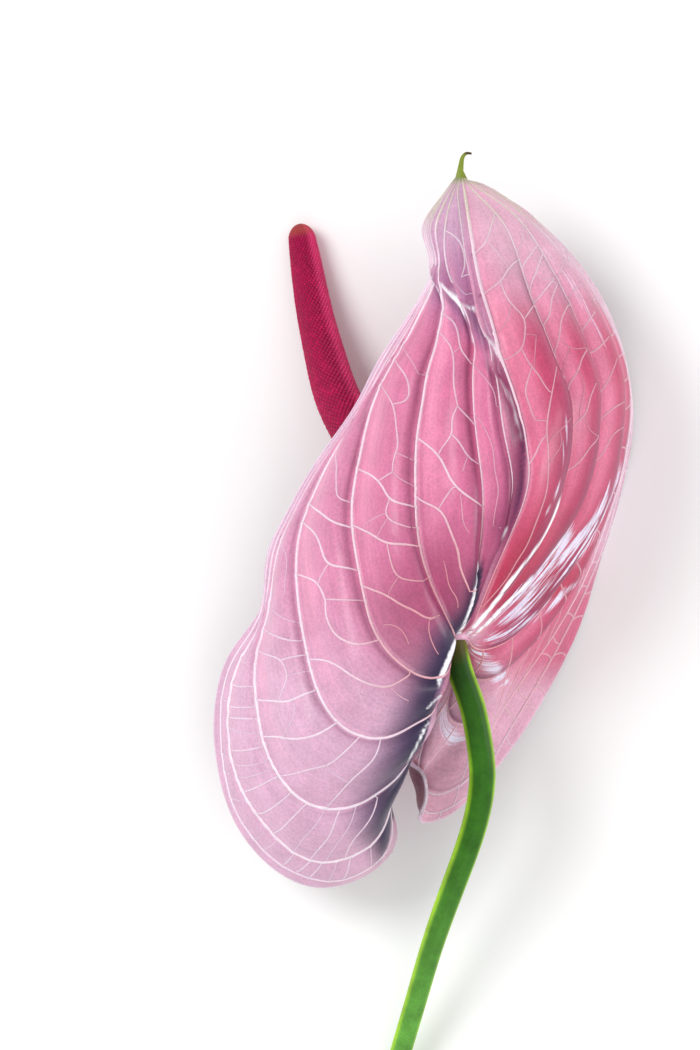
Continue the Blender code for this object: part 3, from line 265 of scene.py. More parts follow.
# Veins of the net that show from behind: the guide on the left of their panel, then
# each vein's rank and the x and y of the points that it runs through.
NET: dict[str, tuple[tuple[Rank, tuple[float, ...]], ...]] = {
    "left_8": (
        (FINE, (-41.4, -40.9, -39.7, -38.9, -38.8, -37.7)),
        (FINE, (-39.4, -42.7, -38, -40.9, -36.8, -40.3)),
        (CROSS, (-35.7, -46, -34.5, -44.1, -33.4, -42.6)),
        (CROSS, (-33, -46.7, -31.1, -44.9, -30, -43.3)),
        (CROSS, (-30.4, -47.6, -29.1, -46, -28.1, -44.6)),
        (FINE, (-26.8, -48.1, -25.7, -46.3, -25.1, -43.9)),
        (CROSS, (-23.8, -47.9, -22.8, -45.4, -22.4, -43)),
        (FINE, (-18.4, -45, -18.4, -43.1, -18.5, -40.9)),
        (FINE, (-48.1, -12.5, -47.1, -12.4, -46.4, -12.5)),
        (FINE, (-48.3, -23.7, -47.1, -23.9, -46, -23.9)),
        (FINE, (-47.7, -27.4, -46.3, -27.4, -45.1, -27.3)),
        (FINE, (-46.3, -32.9, -44.8, -32, -43.1, -32)),
    ),
    "left_7": (
        (CROSS, (-46.3, -9.5, -44.4, -9.6, -41.8, -9.6)),
        (CROSS, (-46.4, -13.4, -43.9, -13.7, -41.3, -13.6)),
        (CROSS, (-46.3, -15.6, -43.9, -15.8, -40.9, -16)),
        (FINE, (-46.6, -17.5, -43.1, -18.8, -40, -18.8)),
        (CROSS, (-45.6, -22.2, -42.9, -22.1, -39.8, -21.6)),
        (FINE, (-45.7, -25.1, -42, -25.1, -39.4, -24.6)),
        (FINE, (-44.8, -27.7, -42.5, -27.4, -40, -26.7, -37.7, -26)),
        (CROSS, (-43.4, -30.4, -41.1, -29.6, -38.8, -28.4, -36.3, -27.3)),
        (CROSS, (-41.1, -35.4, -38.5, -34, -36.8, -32.9, -34.5, -31)),
        (CROSS, (-37.7, -38.9, -35.7, -37.6, -33.7, -35.4, -31.1, -32.9)),
        (FINE, (-33.5, -42.4, -32, -40, -29.7, -37.4, -27.7, -34.6, -27, -32.9)),
        (CROSS, (-30, -43.3, -28.3, -41.1, -26.5, -38.9, -25.4, -36, -24.3, -33.7)),
        (FINE, (-27.4, -44.4, -25.1, -40.3, -23.1, -37.7, -21.3, -33.3)),
        (CROSS, (-23.5, -43.3, -22, -39.7, -20, -37.4, -18, -34.3, -17.1, -31.4)),
        (FINE, (-45.5, -5.2, -43.9, -5, -41.6, -5.1)),
        (FINE, (-43.9, -2, -42.1, -2.1, -40.5, -2.2)),
    ),
    "left_6": (
        (FINE, (-35.6, 20.2, -34.9, 18, -34.6, 15.5, -35, 12, -35.1, 8.8)),
        (FINE, (-37.8, 7.2, -36.4, 5.2, -35.1, 4, -32.6, 3.2)),
        (CROSS, (-38.9, 1.9, -37.1, 1, -35.1, 0, -32.3, -0.4)),
        (CROSS, (-40.4, -2.5, -37.9, -3.1, -35.6, -4, -35.1, -5.5, -34.4, -7.2, -35, -9,
            -35.9, -11.2, -36.1, -12.1)),
        (CROSS, (-35.6, -4, -33.9, -3.5, -30.9, -3.2)),
        (FINE, (-34.4, -7.2, -32.9, -6.8, -30.4, -6.4)),
        (STRONG, (-41, -12.2, -37.1, -12.1, -33.5, -12.1, -32.1, -11.2, -29.8, -10.4)),
        (FINE, (-33.5, -12.1, -32.8, -14, -33.6, -16, -34.6, -17.8, -35, -19.4)),
        (STRONG, (-39.5, -19.4, -36.4, -19.2, -33.9, -19.6, -31.4, -19.4, -28.9, -18.8,
            -27.1, -17.8, -25.1, -16.6)),
        (CROSS, (-36, -27.1, -33.4, -26.6, -30, -25.4, -26.5, -24.6, -24.3, -22.9, -22.3, -21.1,
            -20.5, -19.4)),
        (CROSS, (-26.8, -32.9, -24.3, -30, -22.3, -27.7, -19.4, -25.1, -17.7, -23.4, -16.3, -19.7)),
        (FINE, (-26.5, -25.4, -25.1, -26.6, -22.8, -27.9)),
    ),
    "left_5": (
        (CROSS, (-25.4, 38.5, -24.5, 35.8, -24.8, 33, -24.8, 30, -24.8, 28.2, -22.4, 27.4,
            -21.7, 27.2)),
        (STRONG, (-30.1, 27.2, -28.4, 26, -26.6, 24.2, -24.4, 22.9, -22.4, 22.4, -21.5, 22.2)),
        (STRONG, (-31.3, 23.4, -29.4, 22, -28.1, 19.5, -27.4, 17, -26.4, 15, -24.4, 14.6,
            -21.1, 13.8)),
        (CROSS, (-26.4, 15, -27.6, 13.2, -28.3, 11.5)),
        (STRONG, (-32.1, 13, -30.4, 12.5, -28.4, 11.5, -27.4, 9.2, -26.8, 8.2, -27, 6, -26.3, 3.5,
            -24.9, 1, -22.9, -0.2, -20.5, -0.9, -18.4, -0.5, -17, -0.1)),
        (CROSS, (-26.8, 8.2, -23.9, 8, -20.1, 7.8)),
        (STRONG, (-30.5, -3.9, -27.6, -3.8, -25.1, -4.6, -22.4, -6.5, -19.4, -8.2, -16.9, -9,
            -14.5, -9.1, -12.9, -8.2, -10.9, -7.1)),
        (FINE, (-14.5, -9.1, -12.9, -10.8, -10.9, -11.8)),
        (FINE, (-20.4, -10.2, -19.9, -11.8, -19.1, -13.2)),
    ),
    "left_4": (
        (CROSS, (-15.5, 50.6, -14.4, 49, -13.4, 46.8, -13, 44, -12.8, 41, -12.8, 37.8, -13.5, 36.2,
            -13.7, 33.4)),
        (CROSS, (-12.9, 55.8, -11.9, 54.2, -10.7, 52.5, -10.5, 50.5, -10.3, 48.9, -11.4, 47.1,
            -13.3, 47)),
        (FINE, (-11.3, 58.4, -10.2, 56.5, -9.2, 54.8, -8.8, 53)),
        (FINE, (-12.8, 37.2, -11.4, 36.4, -9.4, 35.5)),
        (CROSS, (-13.7, 33.4, -16.1, 31.8)),
        (FINE, (-13.7, 33.4, -12.4, 32, -10.7, 31, -9.4, 30.4)),
        (STRONG, (-20.3, 34, -18.6, 33.4, -16.3, 31.8, -15.2, 29.8, -14.3, 28, -11.9, 27.1,
            -9.7, 26.5)),
        (CROSS, (-14.3, 28, -14.9, 26.4, -15.2, 25.2, -14.7, 24.1, -13.4, 23.4, -10.9, 22.5)),
        (FINE, (-15.2, 25.2, -16.9, 24.4, -18.8, 23.2)),
        (FINE, (-14.7, 24.1, -15.8, 22.2, -16.1, 21.5)),
        (STRONG, (-21.3, 22.8, -19.4, 22, -17.1, 20.8, -14.7, 19.3, -11.9, 19.2, -8.7, 18.6)),
        (CROSS, (-14.7, 19.3, -14.3, 17, -13.7, 14.5, -12.7, 12.6, -10.9, 12.1, -8.2, 11.8)),
        (FINE, (-12.7, 12.6, -13.5, 11.2, -14.3, 9.8)),
        (STRONG, (-19.9, 11, -17.4, 10.1, -14.4, 8.9, -11.9, 7.1, -9.4, 6, -6.8, 4.3, -5, 5)),
        (FINE, (-6.8, 4.3, -6.9, 2, -6.2, -0.2, -5, -2.5)),
        (FINE, (-15.4, 3.2, -13.9, 3.5, -12.4, 2.8, -11.2, 1.2, -10.7, -0.5)),
    ),
    "left_3": (
        (CROSS, (-3.9, 61, -2.4, 59, -1.6, 57, -1.6, 52.2, -1.4, 49.5, -0.9, 46.5)),
        (CROSS, (-0.9, 46.5, -1.6, 45.2, -2, 43, -1.9, 40.8, -3.4, 39, -4.5, 37)),
        (CROSS, (-0.9, 46.5, 0.3, 45, 1.4, 43.8, 2.5, 42.6)),
        (CROSS, (-1.9, 40.8, -0.4, 39.2, 0.8, 36.5, 3, 35)),
        (FINE, (0.8, 36.5, 0.3, 35, -0, 33.6)),
        (STRONG, (-8.3, 40, -6.7, 38.8, -4.7, 37, -3.1, 34, -1.6, 31, -0.1, 29.5, 1.9, 28,
            3.5, 26.8)),
        (STRONG, (-8.9, 28.5, -6.9, 27.2, -4.5, 26.2, -2.9, 23.5, -1.6, 20, -0.7, 17, -0.7, 16,
            0.3, 12.5, 1.2, 10)),
        (CROSS, (-4.5, 26.2, -3.4, 28.2, -2, 30.2)),
        (FINE, (-0.4, 28.8, -0.1, 26, 0.1, 23, 1.1, 21.5)),
        (CROSS, (-3.5, 65, -1.9, 64, -1.1, 62, -0.7, 60, -0.4, 58.1, 0.6, 56.5, 1.6, 55)),
        (FINE, (-0.4, 58.1, -1.4, 57.5, -1.6, 56.9)),
        (FINE, (-3.6, 16, -3, 13.8, -2.4, 10.5, -0.7, 8, -0.9, 6.8)),
    ),
    "left_2": (
        (FINE, (2.6, 54.8, 4.8, 52, 6.1, 49.8, 6.6, 46.5)),
        (FINE, (2.7, 44.8, 4, 43.8, 5.1, 41.5, 6.3, 38, 6.6, 34, 7.3, 30, 6.8, 26.8, 6.3, 23)),
        (CROSS, (-3, 81.6, -1.8, 81.2, -0.6, 80, 0.4, 77.6, 0.7, 75.8, 0.7, 74, 0.4, 72.2)),
        (FINE, (-2.5, 73.4, -1, 72, 0.4, 70.2, 1.6, 68.6)),
    ),
    "midrib": (
        (CROSS, (10.6, 75.6, 9.2, 74.4, 8.4, 73, 7.5, 71.1, 6.1, 70.2, 5, 69.2)),
        (CROSS, (6.2, 84.8, 5.7, 83.2, 5.3, 81.6, 4.8, 79.4, 4.2, 78.2, 3, 77.2)),
        (FINE, (4.8, 79.4, 6, 78, 7.4, 76.2, 8.8, 74.2)),
        (CROSS, (7.5, 71, 8.3, 68.8, 9.8, 66.4, 12.1, 63.8, 12.2, 61.2, 11.6, 57.8, 10.3, 56.5,
            8.8, 55.8)),
        (CROSS, (12.1, 63.8, 12.7, 65.2, 13.6, 66.4)),
        (CROSS, (11.6, 57.8, 12.6, 55.8, 13.5, 54.2, 14.8, 53, 15.6, 51.2, 16.9, 49.5)),
        (CROSS, (13.5, 54.2, 13.1, 52.8, 12.6, 51, 12.2, 49.2, 13.1, 47.2, 13.5, 45.2, 14.3, 43.8)),
        (FINE, (9.3, 66.2, 8.8, 63, 8.1, 61.8, 7.1, 61.2)),
        (CROSS, (18.2, 54.2, 17.9, 52, 17.4, 49, 16.6, 44, 16.4, 41, 16.7, 38, 16.7, 35, 16.4, 30.5,
            15.3, 26.5, 13.8, 22.5, 12.1, 18.5, 10.1, 15.5, 9.1, 13.5, 6.6, 10.2, 3.9, 7)),
        (CROSS, (16.4, 41, 14.8, 38.8, 14.3, 36.8, 12.7, 34.9)),
        (FINE, (16.6, 39.5, 17.9, 40.8, 19.2, 42, 20.9, 44.2)),
        (FINE, (19.2, 40.5, 19, 38, 17.6, 36.8, 16.8, 35.5)),
        (FINE, (14.3, 60.5, 14.1, 57, 14, 53.9)),
    ),
    "right_1": (
        (FINE, (11.8, 82, 11.7, 79, 10.6, 77)),
        (CROSS, (14.5, 78.5, 13.1, 76.5, 12.3, 75.2, 11.6, 74)),
        (CROSS, (15.6, 76.8, 15, 75.5, 14.6, 73, 13.6, 71.5, 13.2, 69.5)),
        (FINE, (14.6, 72.9, 15.8, 71.2, 17.6, 72)),
        (CROSS, (18, 72, 16.1, 69.5, 14.6, 67.5, 13.7, 66.9)),
        (CROSS, (18.6, 70.8, 17.5, 68, 17.4, 65.8, 16.5, 63.5, 16.4, 63.5, 15.5, 62.2)),
        (CROSS, (20.6, 66.5, 19.4, 63.8, 19.1, 60.2, 18.1, 57.5, 17.6, 56.5)),
        (FINE, (19.1, 60.2, 20.1, 58.8, 21.4, 57.8, 23.9, 58.2)),
        (FINE, (20.9, 58, 20.4, 56.2, 20, 54.5, 19.1, 52.5)),
        (CROSS, (24.1, 58.4, 23.4, 56, 22.7, 53.5, 21.1, 51.2, 20.2, 49.5)),
        (FINE, (22.7, 53.5, 23.9, 52, 24.1, 50.5, 23.4, 48.2, 22.9, 44.5)),
        (CROSS, (26.2, 51.2, 24.9, 47.8, 23.9, 44.6, 22.6, 43.8, 21.1, 42)),
        (FINE, (23.9, 44.6, 24.4, 43, 24.9, 41.5, 26.5, 40.5)),
        (CROSS, (26.7, 41.2, 24.9, 38.5, 23.1, 35.8, 20.9, 34.2)),
    ),
    "right_2": (
        (FINE, (20.1, 75.8, 18.6, 72.5, 18, 71.5)),
        (FINE, (23.4, 71.2, 21.1, 69, 20.2, 67.2)),
        (CROSS, (26.2, 65.5, 24.4, 63, 23.2, 61.2)),
        (CROSS, (28.9, 60.5, 27.1, 58.5, 25.6, 57.2, 24.6, 57.2)),
        (CROSS, (30.5, 56.2, 29.1, 52.5, 27.9, 50.5, 26.7, 49)),
        (CROSS, (31.2, 48.5, 29.1, 45.8, 27.6, 44.8, 26.9, 43.8)),
        (CROSS, (31, 43.5, 29.1, 40, 28.1, 38, 26.4, 36)),
    ),
}

# What stands out on the blade besides its veins: raised ridges and folds with painted highlight,
# and strips of painted shade.
BANDS: tuple[Band, ...] = (
    Band(CREASE, LEFT_HALF, (0.35, 0.25), 0.9, 0.6, (
        -6.2, 74.8, -5.4, 72, -4.4, 69.2, -3.4, 66.2)),
    Band(CREASE, LEFT_HALF, (0.6, 0.35), 1.6, 0.8, (
        -4.4, 72.6, -2.4, 69.6, 0.2, 66.2, 1.6, 63, 2.6, 59.8, 3, 56.8)),
    Band(CREASE, LEFT_HALF, (0.45, 0.4), 1.1, 0.6, (
        -0.6, 69, 1.4, 67, 3.2, 65.2, 4.8, 61.6, 6.8, 57.6, 8.2, 53.6)),
    Band(CREASE, LEFT_HALF, (0.5, 0.45), 1.3, 0.44, (
        4.2, 58.4, 6.2, 54.6, 8, 51.2, 9.8, 46.4, 11, 41.2, 11.8, 36.4)),
    Band(SHEEN, LEFT_HALF, (0.3, 0.52), 0.3, 0.95, (
        3, 19, 2.4, 11.6, 1.4, 7.2, 0, 3.4, -1.8, 0, -3.2, -3.6, -4.6, -7.2, -5.6, -10.8)),
    Band(SHEEN, LEFT_HALF, (0.3, 0.35), 0.1, 0.6, (
        -4.2, -10.4, -6.2, -12, -7.6, -13.6)),
    Band(SHEEN, LEFT_HALF, (0.3, 0.35), 0.1, 0.7, (
        -6.4, -15.2, -8.4, -18.6, -10.2, -22, -12, -25.6)),
    Band(SHEEN, RIGHT_HALF, (0.28, 0.3), 0.25, 0.75, (
        9.6, 24.2, 8.6, 21.6, 6.8, 18.4, 4.8, 14, 3, 9.6, 1.8, 5.8)),
    Band(SHEEN, RIGHT_HALF, (0.25, 0.35), 0.35, 1, (
        20, 32.4, 18.8, 28.4, 16.8, 23.4, 14.2, 19, 10.4, 14, 6.8, 9, 2.4, 3.4, 0.6, 1,
        -0.6, -0.4)),
    Band(SHEEN, RIGHT_HALF, (0.22, 0.3), 0.25, 0.95, (
        21.8, 25.2, 20, 21.6, 17.6, 18, 14, 13.6, 9.4, 9.2, 5.6, 5.2, 2, 1.2, 0.4, -0.4)),
    Band(SILK, RIGHT_HALF, (0.6, 0.8), 0.05, 0.6, (
        19.8, 49.4, 20.1, 44, 19.7, 38, 18.6, 32, 16.8, 26.6, 14.6, 22.6)),
    Band(SILK, RIGHT_HALF, (1.6, 2.2), 0, 0.4, (
        11.6, 83, 17.6, 76, 22.8, 69, 26.6, 61.6, 28.8, 54)),
    Band(SILK, RIGHT_HALF, (1.8, 0.9), 0.2, 0.85, (
        23.6, 28, 22, 24, 18.4, 18.8, 14.8, 14.6, 10.2, 10, 6, 5.6, 2.4, 1.4)),
    Band(SILK, RIGHT_HALF, (1.2, 1.3), 0.2, 0.95, (
        30.4, 37.6, 29.2, 32.4, 27.2, 26.8, 24.6, 22.8, 20.6, 18.8, 16.6, 14.8, 11.6, 10.2,
        6.6, 5.6, 2.8, 1.4)),
    Band(SILK, RIGHT_HALF, (2.2, 1.4), 0.1, 0.7, (
        28.2, 28, 26.4, 24, 22.4, 19.8, 18, 15.6, 12.4, 10.8, 7.6, 6.4, 4, 2.4)),
    Band(SILK, RIGHT_HALF, (1.4, 0.8), 0.1, 0.85, (
        32.2, 40, 30.8, 33.2, 28.4, 26.8, 25.6, 21.2, 22, 16, 17.6, 11.2)),
    Band(SILK, RIGHT_HALF, (4.5, 5), 0, 0.5, (
        30, 27, 25.2, 20.4, 19.6, 14.8, 14, 9.6, 8.8, 4.8, 4.4, 0.8)),
    Band(SILK, RIGHT_HALF, (2, 2.4), 0, 0.54, (
        27.6, 15.6, 20.8, 10, 15.2, 5.6, 10, 2.4, 5.2, 0.4, 1.6, -0.2)),
    Band(SILK, RIGHT_HALF, (2.4, 4.6), 0, 0.52, (
        0.4, 0.8, 2.4, -1.6, 4.8, -4.4, 7.6, -7.2, 10, -10)),
    Band(SILK, RIGHT_HALF, (3.6, 4.2), 0, 0.5, (
        -5.6, -10.8, -4, -14.4, -2.4, -18.4, -0.8, -22)),
    Band(PLUM, LEFT_HALF, (1.2, 2.6), 0, 0.55, (
        0.4, 90, 2.8, 79, 5, 69.4, 7.6, 59)),
    Band(PLUM, LEFT_HALF, (3, 5.5), 0, 0.85, (
        6.6, 61, 9, 53, 11.2, 45.2, 12, 36.8, 10.8, 26.4, 7.6, 18, 4.2, 10)),
    Band(PLUM, LEFT_HALF, (1.6, 4), 0, 0.35, (
        -6, 62, -6.4, 52, -7.2, 40, -7.6, 28, -6.4, 19, -4.4, 12, -2, 5.6)),
    Band(PLUM, LEFT_HALF, (1.4, 3), 0, 0.35, (
        2.4, 54, 2, 44, 2, 34, 2.8, 24, 3.6, 16, 2.4, 8.8)),
    Band(SHADE, LEFT_HALF, (0.8, 1.6), 0, 0.6, (
        8.2, 53.6, 11.2, 45.2, 12, 36.8, 10.8, 26.4, 7.6, 18)),
    Band(SHADE, LEFT_HALF, (2.2, 5.4), 0, 1, (
        5.4, 19, 3.6, 13, 2.4, 8, 0.4, 3.6, -2, -0.4, -3.6, -4.4, -5.2, -8.4, -6.8, -13.2,
        -8.4, -18.8, -10.2, -23.4, -12, -28)),
    Band(SHADE, LEFT_HALF, (5.4, 4.6), 0, 1, (
        -4.4, -10, -6.8, -15.2, -8.6, -20.4, -11, -26.4, -13.2, -32, -14.8, -36.8, -15.6, -41.2,
        -17.6, -45.2, -20.4, -48.8)),
    Band(DUSK, LEFT_HALF, (5.4, 10.5), 0, 0.95, (
        1.6, 8, -1.2, 0.8, -4.2, -8, -6.8, -15.2, -8.6, -20.4, -11, -26.4, -13.2, -32, -14.8, -36.8,
        -15.6, -41.2, -17.6, -45.2, -20.4, -48.8)),
)


def unit(vector: Array) -> Array:
    """Return vectors shortened or drawn out to a length of one."""
    vector = np.asarray(vector, dtype=float)
    return vector / np.maximum(np.linalg.norm(vector, axis=-1, keepdims=True), 1e-12)


def ease(value: Array | float) -> Array | float:
    """Return 0 to 1 with a soft start and end."""
    value = np.clip(value, 0.0, 1.0)
    return value * value * (3.0 - 2.0 * value)


def running_length(line: Array) -> Array:
    """Return how far each point of a polyline lies along it; columns past the third don't count."""
    return np.concatenate(([0.0], np.cumsum(np.linalg.norm(np.diff(line[:, :3], axis=0), axis=1))))


def smooth_line(points: Array, per_span: int = 12) -> tuple[Array, Array]:
    """Run a natural cubic spline through points.

    Args:
        points: The points, one a row; columns past the third ride along.
        per_span: Samples between two points.

    Returns:
        The fine polyline and its running length.
    """
    points = np.asarray(points, dtype=float)
    steps = np.linalg.norm(np.diff(points[:, :3], axis=0), axis=1)
    knots = np.concatenate(([0.0], np.cumsum(steps)))
    count = len(points)
    slope = np.diff(points, axis=0) / steps[:, None]
    matrix = np.eye(count)
    right = np.zeros_like(points)
    for i in range(1, count - 1):
        matrix[i, i - 1:i + 2] = steps[i - 1], 2 * (steps[i - 1] + steps[i]), steps[i]
        right[i] = 6.0 * (slope[i] - slope[i - 1])
    bend = np.linalg.solve(matrix, right)
    samples = np.linspace(0.0, knots[-1], per_span * (count - 1) + 1)
    cell = np.clip(np.searchsorted(knots, samples, side="right") - 1, 0, count - 2)
    width = steps[cell][:, None]
    before = (knots[cell + 1] - samples)[:, None]
    after = (samples - knots[cell])[:, None]
    line = (
        bend[cell] * before ** 3 / (6.0 * width)
        + bend[cell + 1] * after ** 3 / (6.0 * width)
        + (points[cell] / width - bend[cell] * width / 6.0) * before
        + (points[cell + 1] / width - bend[cell + 1] * width / 6.0) * after
    )
    return line, running_length(line)


def read_line(line: Array, length: Array, reach: Array) -> Array:
    """Return every column of a polyline read at the given running lengths."""
    return np.stack([np.interp(reach, length, column) for column in line.T], axis=1)


@dataclass(frozen=True)
class Collar:
    """Ring where the spathe grows out of the stalk."""

    radius: float = 3.45
    centre: tuple[float, float, float] = (-2.0, 0.3, 37.0)
    # The way through it, from the peduncle into the spadix.
    direction: tuple[float, float, float] = (-0.25, 0.90, -0.36)
    gap: float = 0.30  # the gap inside it between the peduncle's top and the spadix

    def axis(self) -> Array:
        """Return the direction from the peduncle into the spadix."""
        return unit(np.array(self.direction))

    def point(self, angle: float) -> Array:
        """Find a point on the ring.

        Args:
            angle: Its angle in degrees; 0 is the top, minus is left.

        Returns:
            The point.
        """
        axis = self.axis()
        top = unit(np.array((0.0, 0.0, 1.0)) - axis[2] * axis)
        left = np.cross(top, axis)
        left = -left if left[0] > 0.0 else left
        turn = math.radians(angle)
        return np.array(self.centre) + self.radius * (math.cos(turn) * top - math.sin(turn) * left)


@dataclass
class BladeSurface:
    """Middle surface of the spathe's blade as a fine grid of rows and columns."""

    collar: Collar
    rows: int = 208
    columns: int = 214
    row_crowding: float = 1.15  # how much closer the rows lie by the collar
    skew_limit: float = 0.9  # the most that a guide's rows crowd to one end
    thickness: float = 0.80
    margin_thickness: float = 0.66  # the blade's thickness at its rim
    # The two ends of the line where the blade runs out into its cusp.
    tip_line: Rows = ((-1.3, 92.6, 31.9), (1.2, 91.9, 31.7))
    swell_rise: float = 1.7  # how slowly a panel swells on its left
    swell_fall: float = 0.70  # how slowly it falls again on its right
    swell_gain: float = 1.5  # how far the panels left of the midrib swell, times their own share
    right_swell_gain: float = 0.85  # the same for the panels right of it
    swell_grows: float = 0.10  # the share of the rows over which the swelling grows from the collar
    swell_fades: float = 0.35  # the share of the rows over which it dies away before the tip
    search_steps: int = 24  # steps in the search for a place on the grid
    search_pace: float = 0.6  # the share of the way that each step goes
    search_stride: float = 2.0  # the most rows or columns that a step aims across
    shares: Array = field(init=False)  # where each row lies on its way from the collar to the cusp
    guides: Array = field(init=False)  # every guide, read at each row
    first_column: list[int] = field(init=False)  # the column of each guide
    panel: Array = field(init=False)  # the panel that each column lies in
    across: Array = field(init=False)  # how far across its panel each column lies
    points: Array = field(init=False)
    normals: Array = field(init=False)  # away from the surface that the flower lies on

    def __post_init__(self) -> None:
        """Work out the grid."""
        self.shares = np.linspace(0.0, 1.0, self.rows) ** self.row_crowding
        self.guides = np.array([self.guide_line(order) for order in range(len(GUIDES))])
        self.share_out_columns()
        self.points = self.pleated()
        self.normals = self.grid_normals(self.points)

    def guide_line(self, order: int) -> Array:
        """Read one guide at every row.

        Args:
            order: Its place among the guides, the left margin first.

        Returns:
            Its point in each row.
        """
        guide = GUIDES[order]
        start, end = np.array(self.tip_line)
        tip = start + order / (len(GUIDES) - 1) * (end - start)
        line, length = smooth_line(np.vstack((
            self.collar.point(guide.collar_angle), np.reshape(guide.points, (-1, 3)), tip)))
        below = np.nonzero(line[:, 1] < guide.half_way_y)[0][-1]
        half = length[below] / length[-1]
        # The middle row crosses every guide at its own half-way height.
        skew = np.clip(4.0 * (half - 0.5), -self.skew_limit, self.skew_limit)
        reach = (self.shares + skew * self.shares * (1 - self.shares)) * length[-1]
        return read_line(line, length, reach)

    def share_out_columns(self) -> None:
        """Give each panel columns by its widest place, and three at the least."""
        widest = np.linalg.norm(np.diff(self.guides, axis=0), axis=2).max(axis=1)
        least = 3
        free = self.columns - 1 - least * len(widest)
        counts = least + np.floor(free * widest / widest.sum()).astype(int)
        counts[np.argmax(widest)] += self.columns - 1 - counts.sum()
        self.first_column = [0] + list(np.cumsum(counts))
        self.panel = np.repeat(np.arange(len(counts)), counts)
        self.across = np.concatenate([np.arange(count) / count for count in counts])
        self.panel = np.append(self.panel, len(counts) - 1)
        self.across = np.append(self.across, 1.0)

    def swelling(self, across: Array) -> Array:
        """Shape the swelling of a panel, which is highest past its middle.

        Args:
            across: Places across the panel, 0 to 1.

        Returns:
            The height at each place, 1 at the highest.
        """
        peak = self.swell_rise / (self.swell_rise + self.swell_fall)
        highest = peak ** self.swell_rise * (1 - peak) ** self.swell_fall
        return across ** self.swell_rise * (1 - across) ** self.swell_fall / highest

    def pleated(self) -> Array:
        """Draw a smooth sheet over the guides, swollen between its veins.

        Returns:
            The grid's points.
        """
        span = np.diff(self.guides, axis=0)
        chord = np.maximum(np.linalg.norm(span, axis=2, keepdims=True), 1e-6)
        span = span / chord
        weight = chord[1:] / (chord[:-1] + chord[1:])
        tangent = np.concatenate(
            (span[:1], weight * span[:-1] + (1 - weight) * span[1:], span[-1:]))
        i, u = self.panel, self.across[:, None, None]
        grid = (
            (1 + 2 * u) * (1 - u) ** 2 * self.guides[i]
            + u * u * (3.0 - 2 * u) * self.guides[i + 1]
            + u * (1 - u) ** 2 * chord[i] * tangent[i]
            + u * u * (u - 1.0) * chord[i] * tangent[i + 1]
        ).transpose(1, 0, 2)
        grow = ease(self.shares / self.swell_grows)
        fade = np.minimum(1.0, (1 - self.shares) / self.swell_fades)
        gain = np.where(self.panel < MIDRIB, self.swell_gain, self.right_swell_gain)
        ratio = gain * SWELLS[self.panel]
        rise = (grow * fade)[:, None] * (chord[i, :, 0].T * ratio * self.swelling(self.across))
        return grid + self.grid_normals(grid) * rise[:, :, None]

    @staticmethod
    def grid_normals(grid: Array) -> Array:
        """Return the unit normals of a grid, on the side that shows from behind."""
        return unit(np.cross(np.gradient(grid, axis=1), np.gradient(grid, axis=0)))

    @staticmethod
    def read(grid: Array, rows: Array, columns: Array) -> Array:
        """Read a grid between its rows and columns.

        Args:
            grid: Rows x columns x values.
            rows: The rows of the places to read.
            columns: Their columns.

        Returns:
            The values at each place.
        """
        rows = np.clip(rows, 0.0, grid.shape[0] - 1.001)
        columns = np.clip(columns, 0.0, grid.shape[1] - 1.001)
        r, c = rows.astype(int), columns.astype(int)
        v, u = (rows - r)[:, None], (columns - c)[:, None]
        low = (1 - u) * grid[r, c] + u * grid[r, c + 1]
        high = (1 - u) * grid[r + 1, c] + u * grid[r + 1, c + 1]
        return (1 - v) * low + v * high

    def locate(self, panel: int, places: Array) -> tuple[Array, Array]:
        """Find the rows and columns of places seen from above.

        Args:
            panel: The panel that they lie in.
            places: Their x and y.

        Returns:
            The row and the column of each place.
        """
        low, high = self.first_column[panel], self.first_column[panel + 1]
        patch = self.points[:, low:high + 1, :2]
        away = ((patch[None] - places[:, None, None]) ** 2).sum(axis=3).reshape(len(places), -1)
        rows, columns = (part.astype(float) for part in divmod(away.argmin(axis=1), high - low + 1))
        for _ in range(self.search_steps):
            here = self.read(patch, rows, columns)
            low_row = np.clip(rows.astype(int), 0, self.rows - 2)
            low_column = np.clip(columns.astype(int), 0, high - low - 1)
            along = (self.read(patch, low_row + 1.0, columns)
                     - self.read(patch, low_row + 0.0, columns))
            side = (self.read(patch, rows, low_column + 1.0)
                    - self.read(patch, rows, low_column + 0.0))
            miss = places - here
            size = along[:, 0] * side[:, 1] - along[:, 1] * side[:, 0]
            size = np.where(np.abs(size) < 1e-6, 1e-6, size)
            row_step = (miss[:, 0] * side[:, 1] - miss[:, 1] * side[:, 0]) / size
            column_step = (along[:, 0] * miss[:, 1] - along[:, 1] * miss[:, 0]) / size
            stride = self.search_stride
            rows = rows + self.search_pace * np.clip(row_step, -stride, stride)
            columns = columns + self.search_pace * np.clip(column_step, -stride, stride)
            rows = np.clip(rows, 0.0, self.rows - 1.0)
            columns = np.clip(columns, 0.0, float(high - low))
        # A few rounds of averaging take out what the search leaves uneven.
        for _ in range(4):
            rows[1:-1] = 0.25 * rows[:-2] + 0.5 * rows[1:-1] + 0.25 * rows[2:]
            columns[1:-1] = 0.25 * columns[:-2] + 0.5 * columns[1:-1] + 0.25 * columns[2:]
        return rows, columns + low

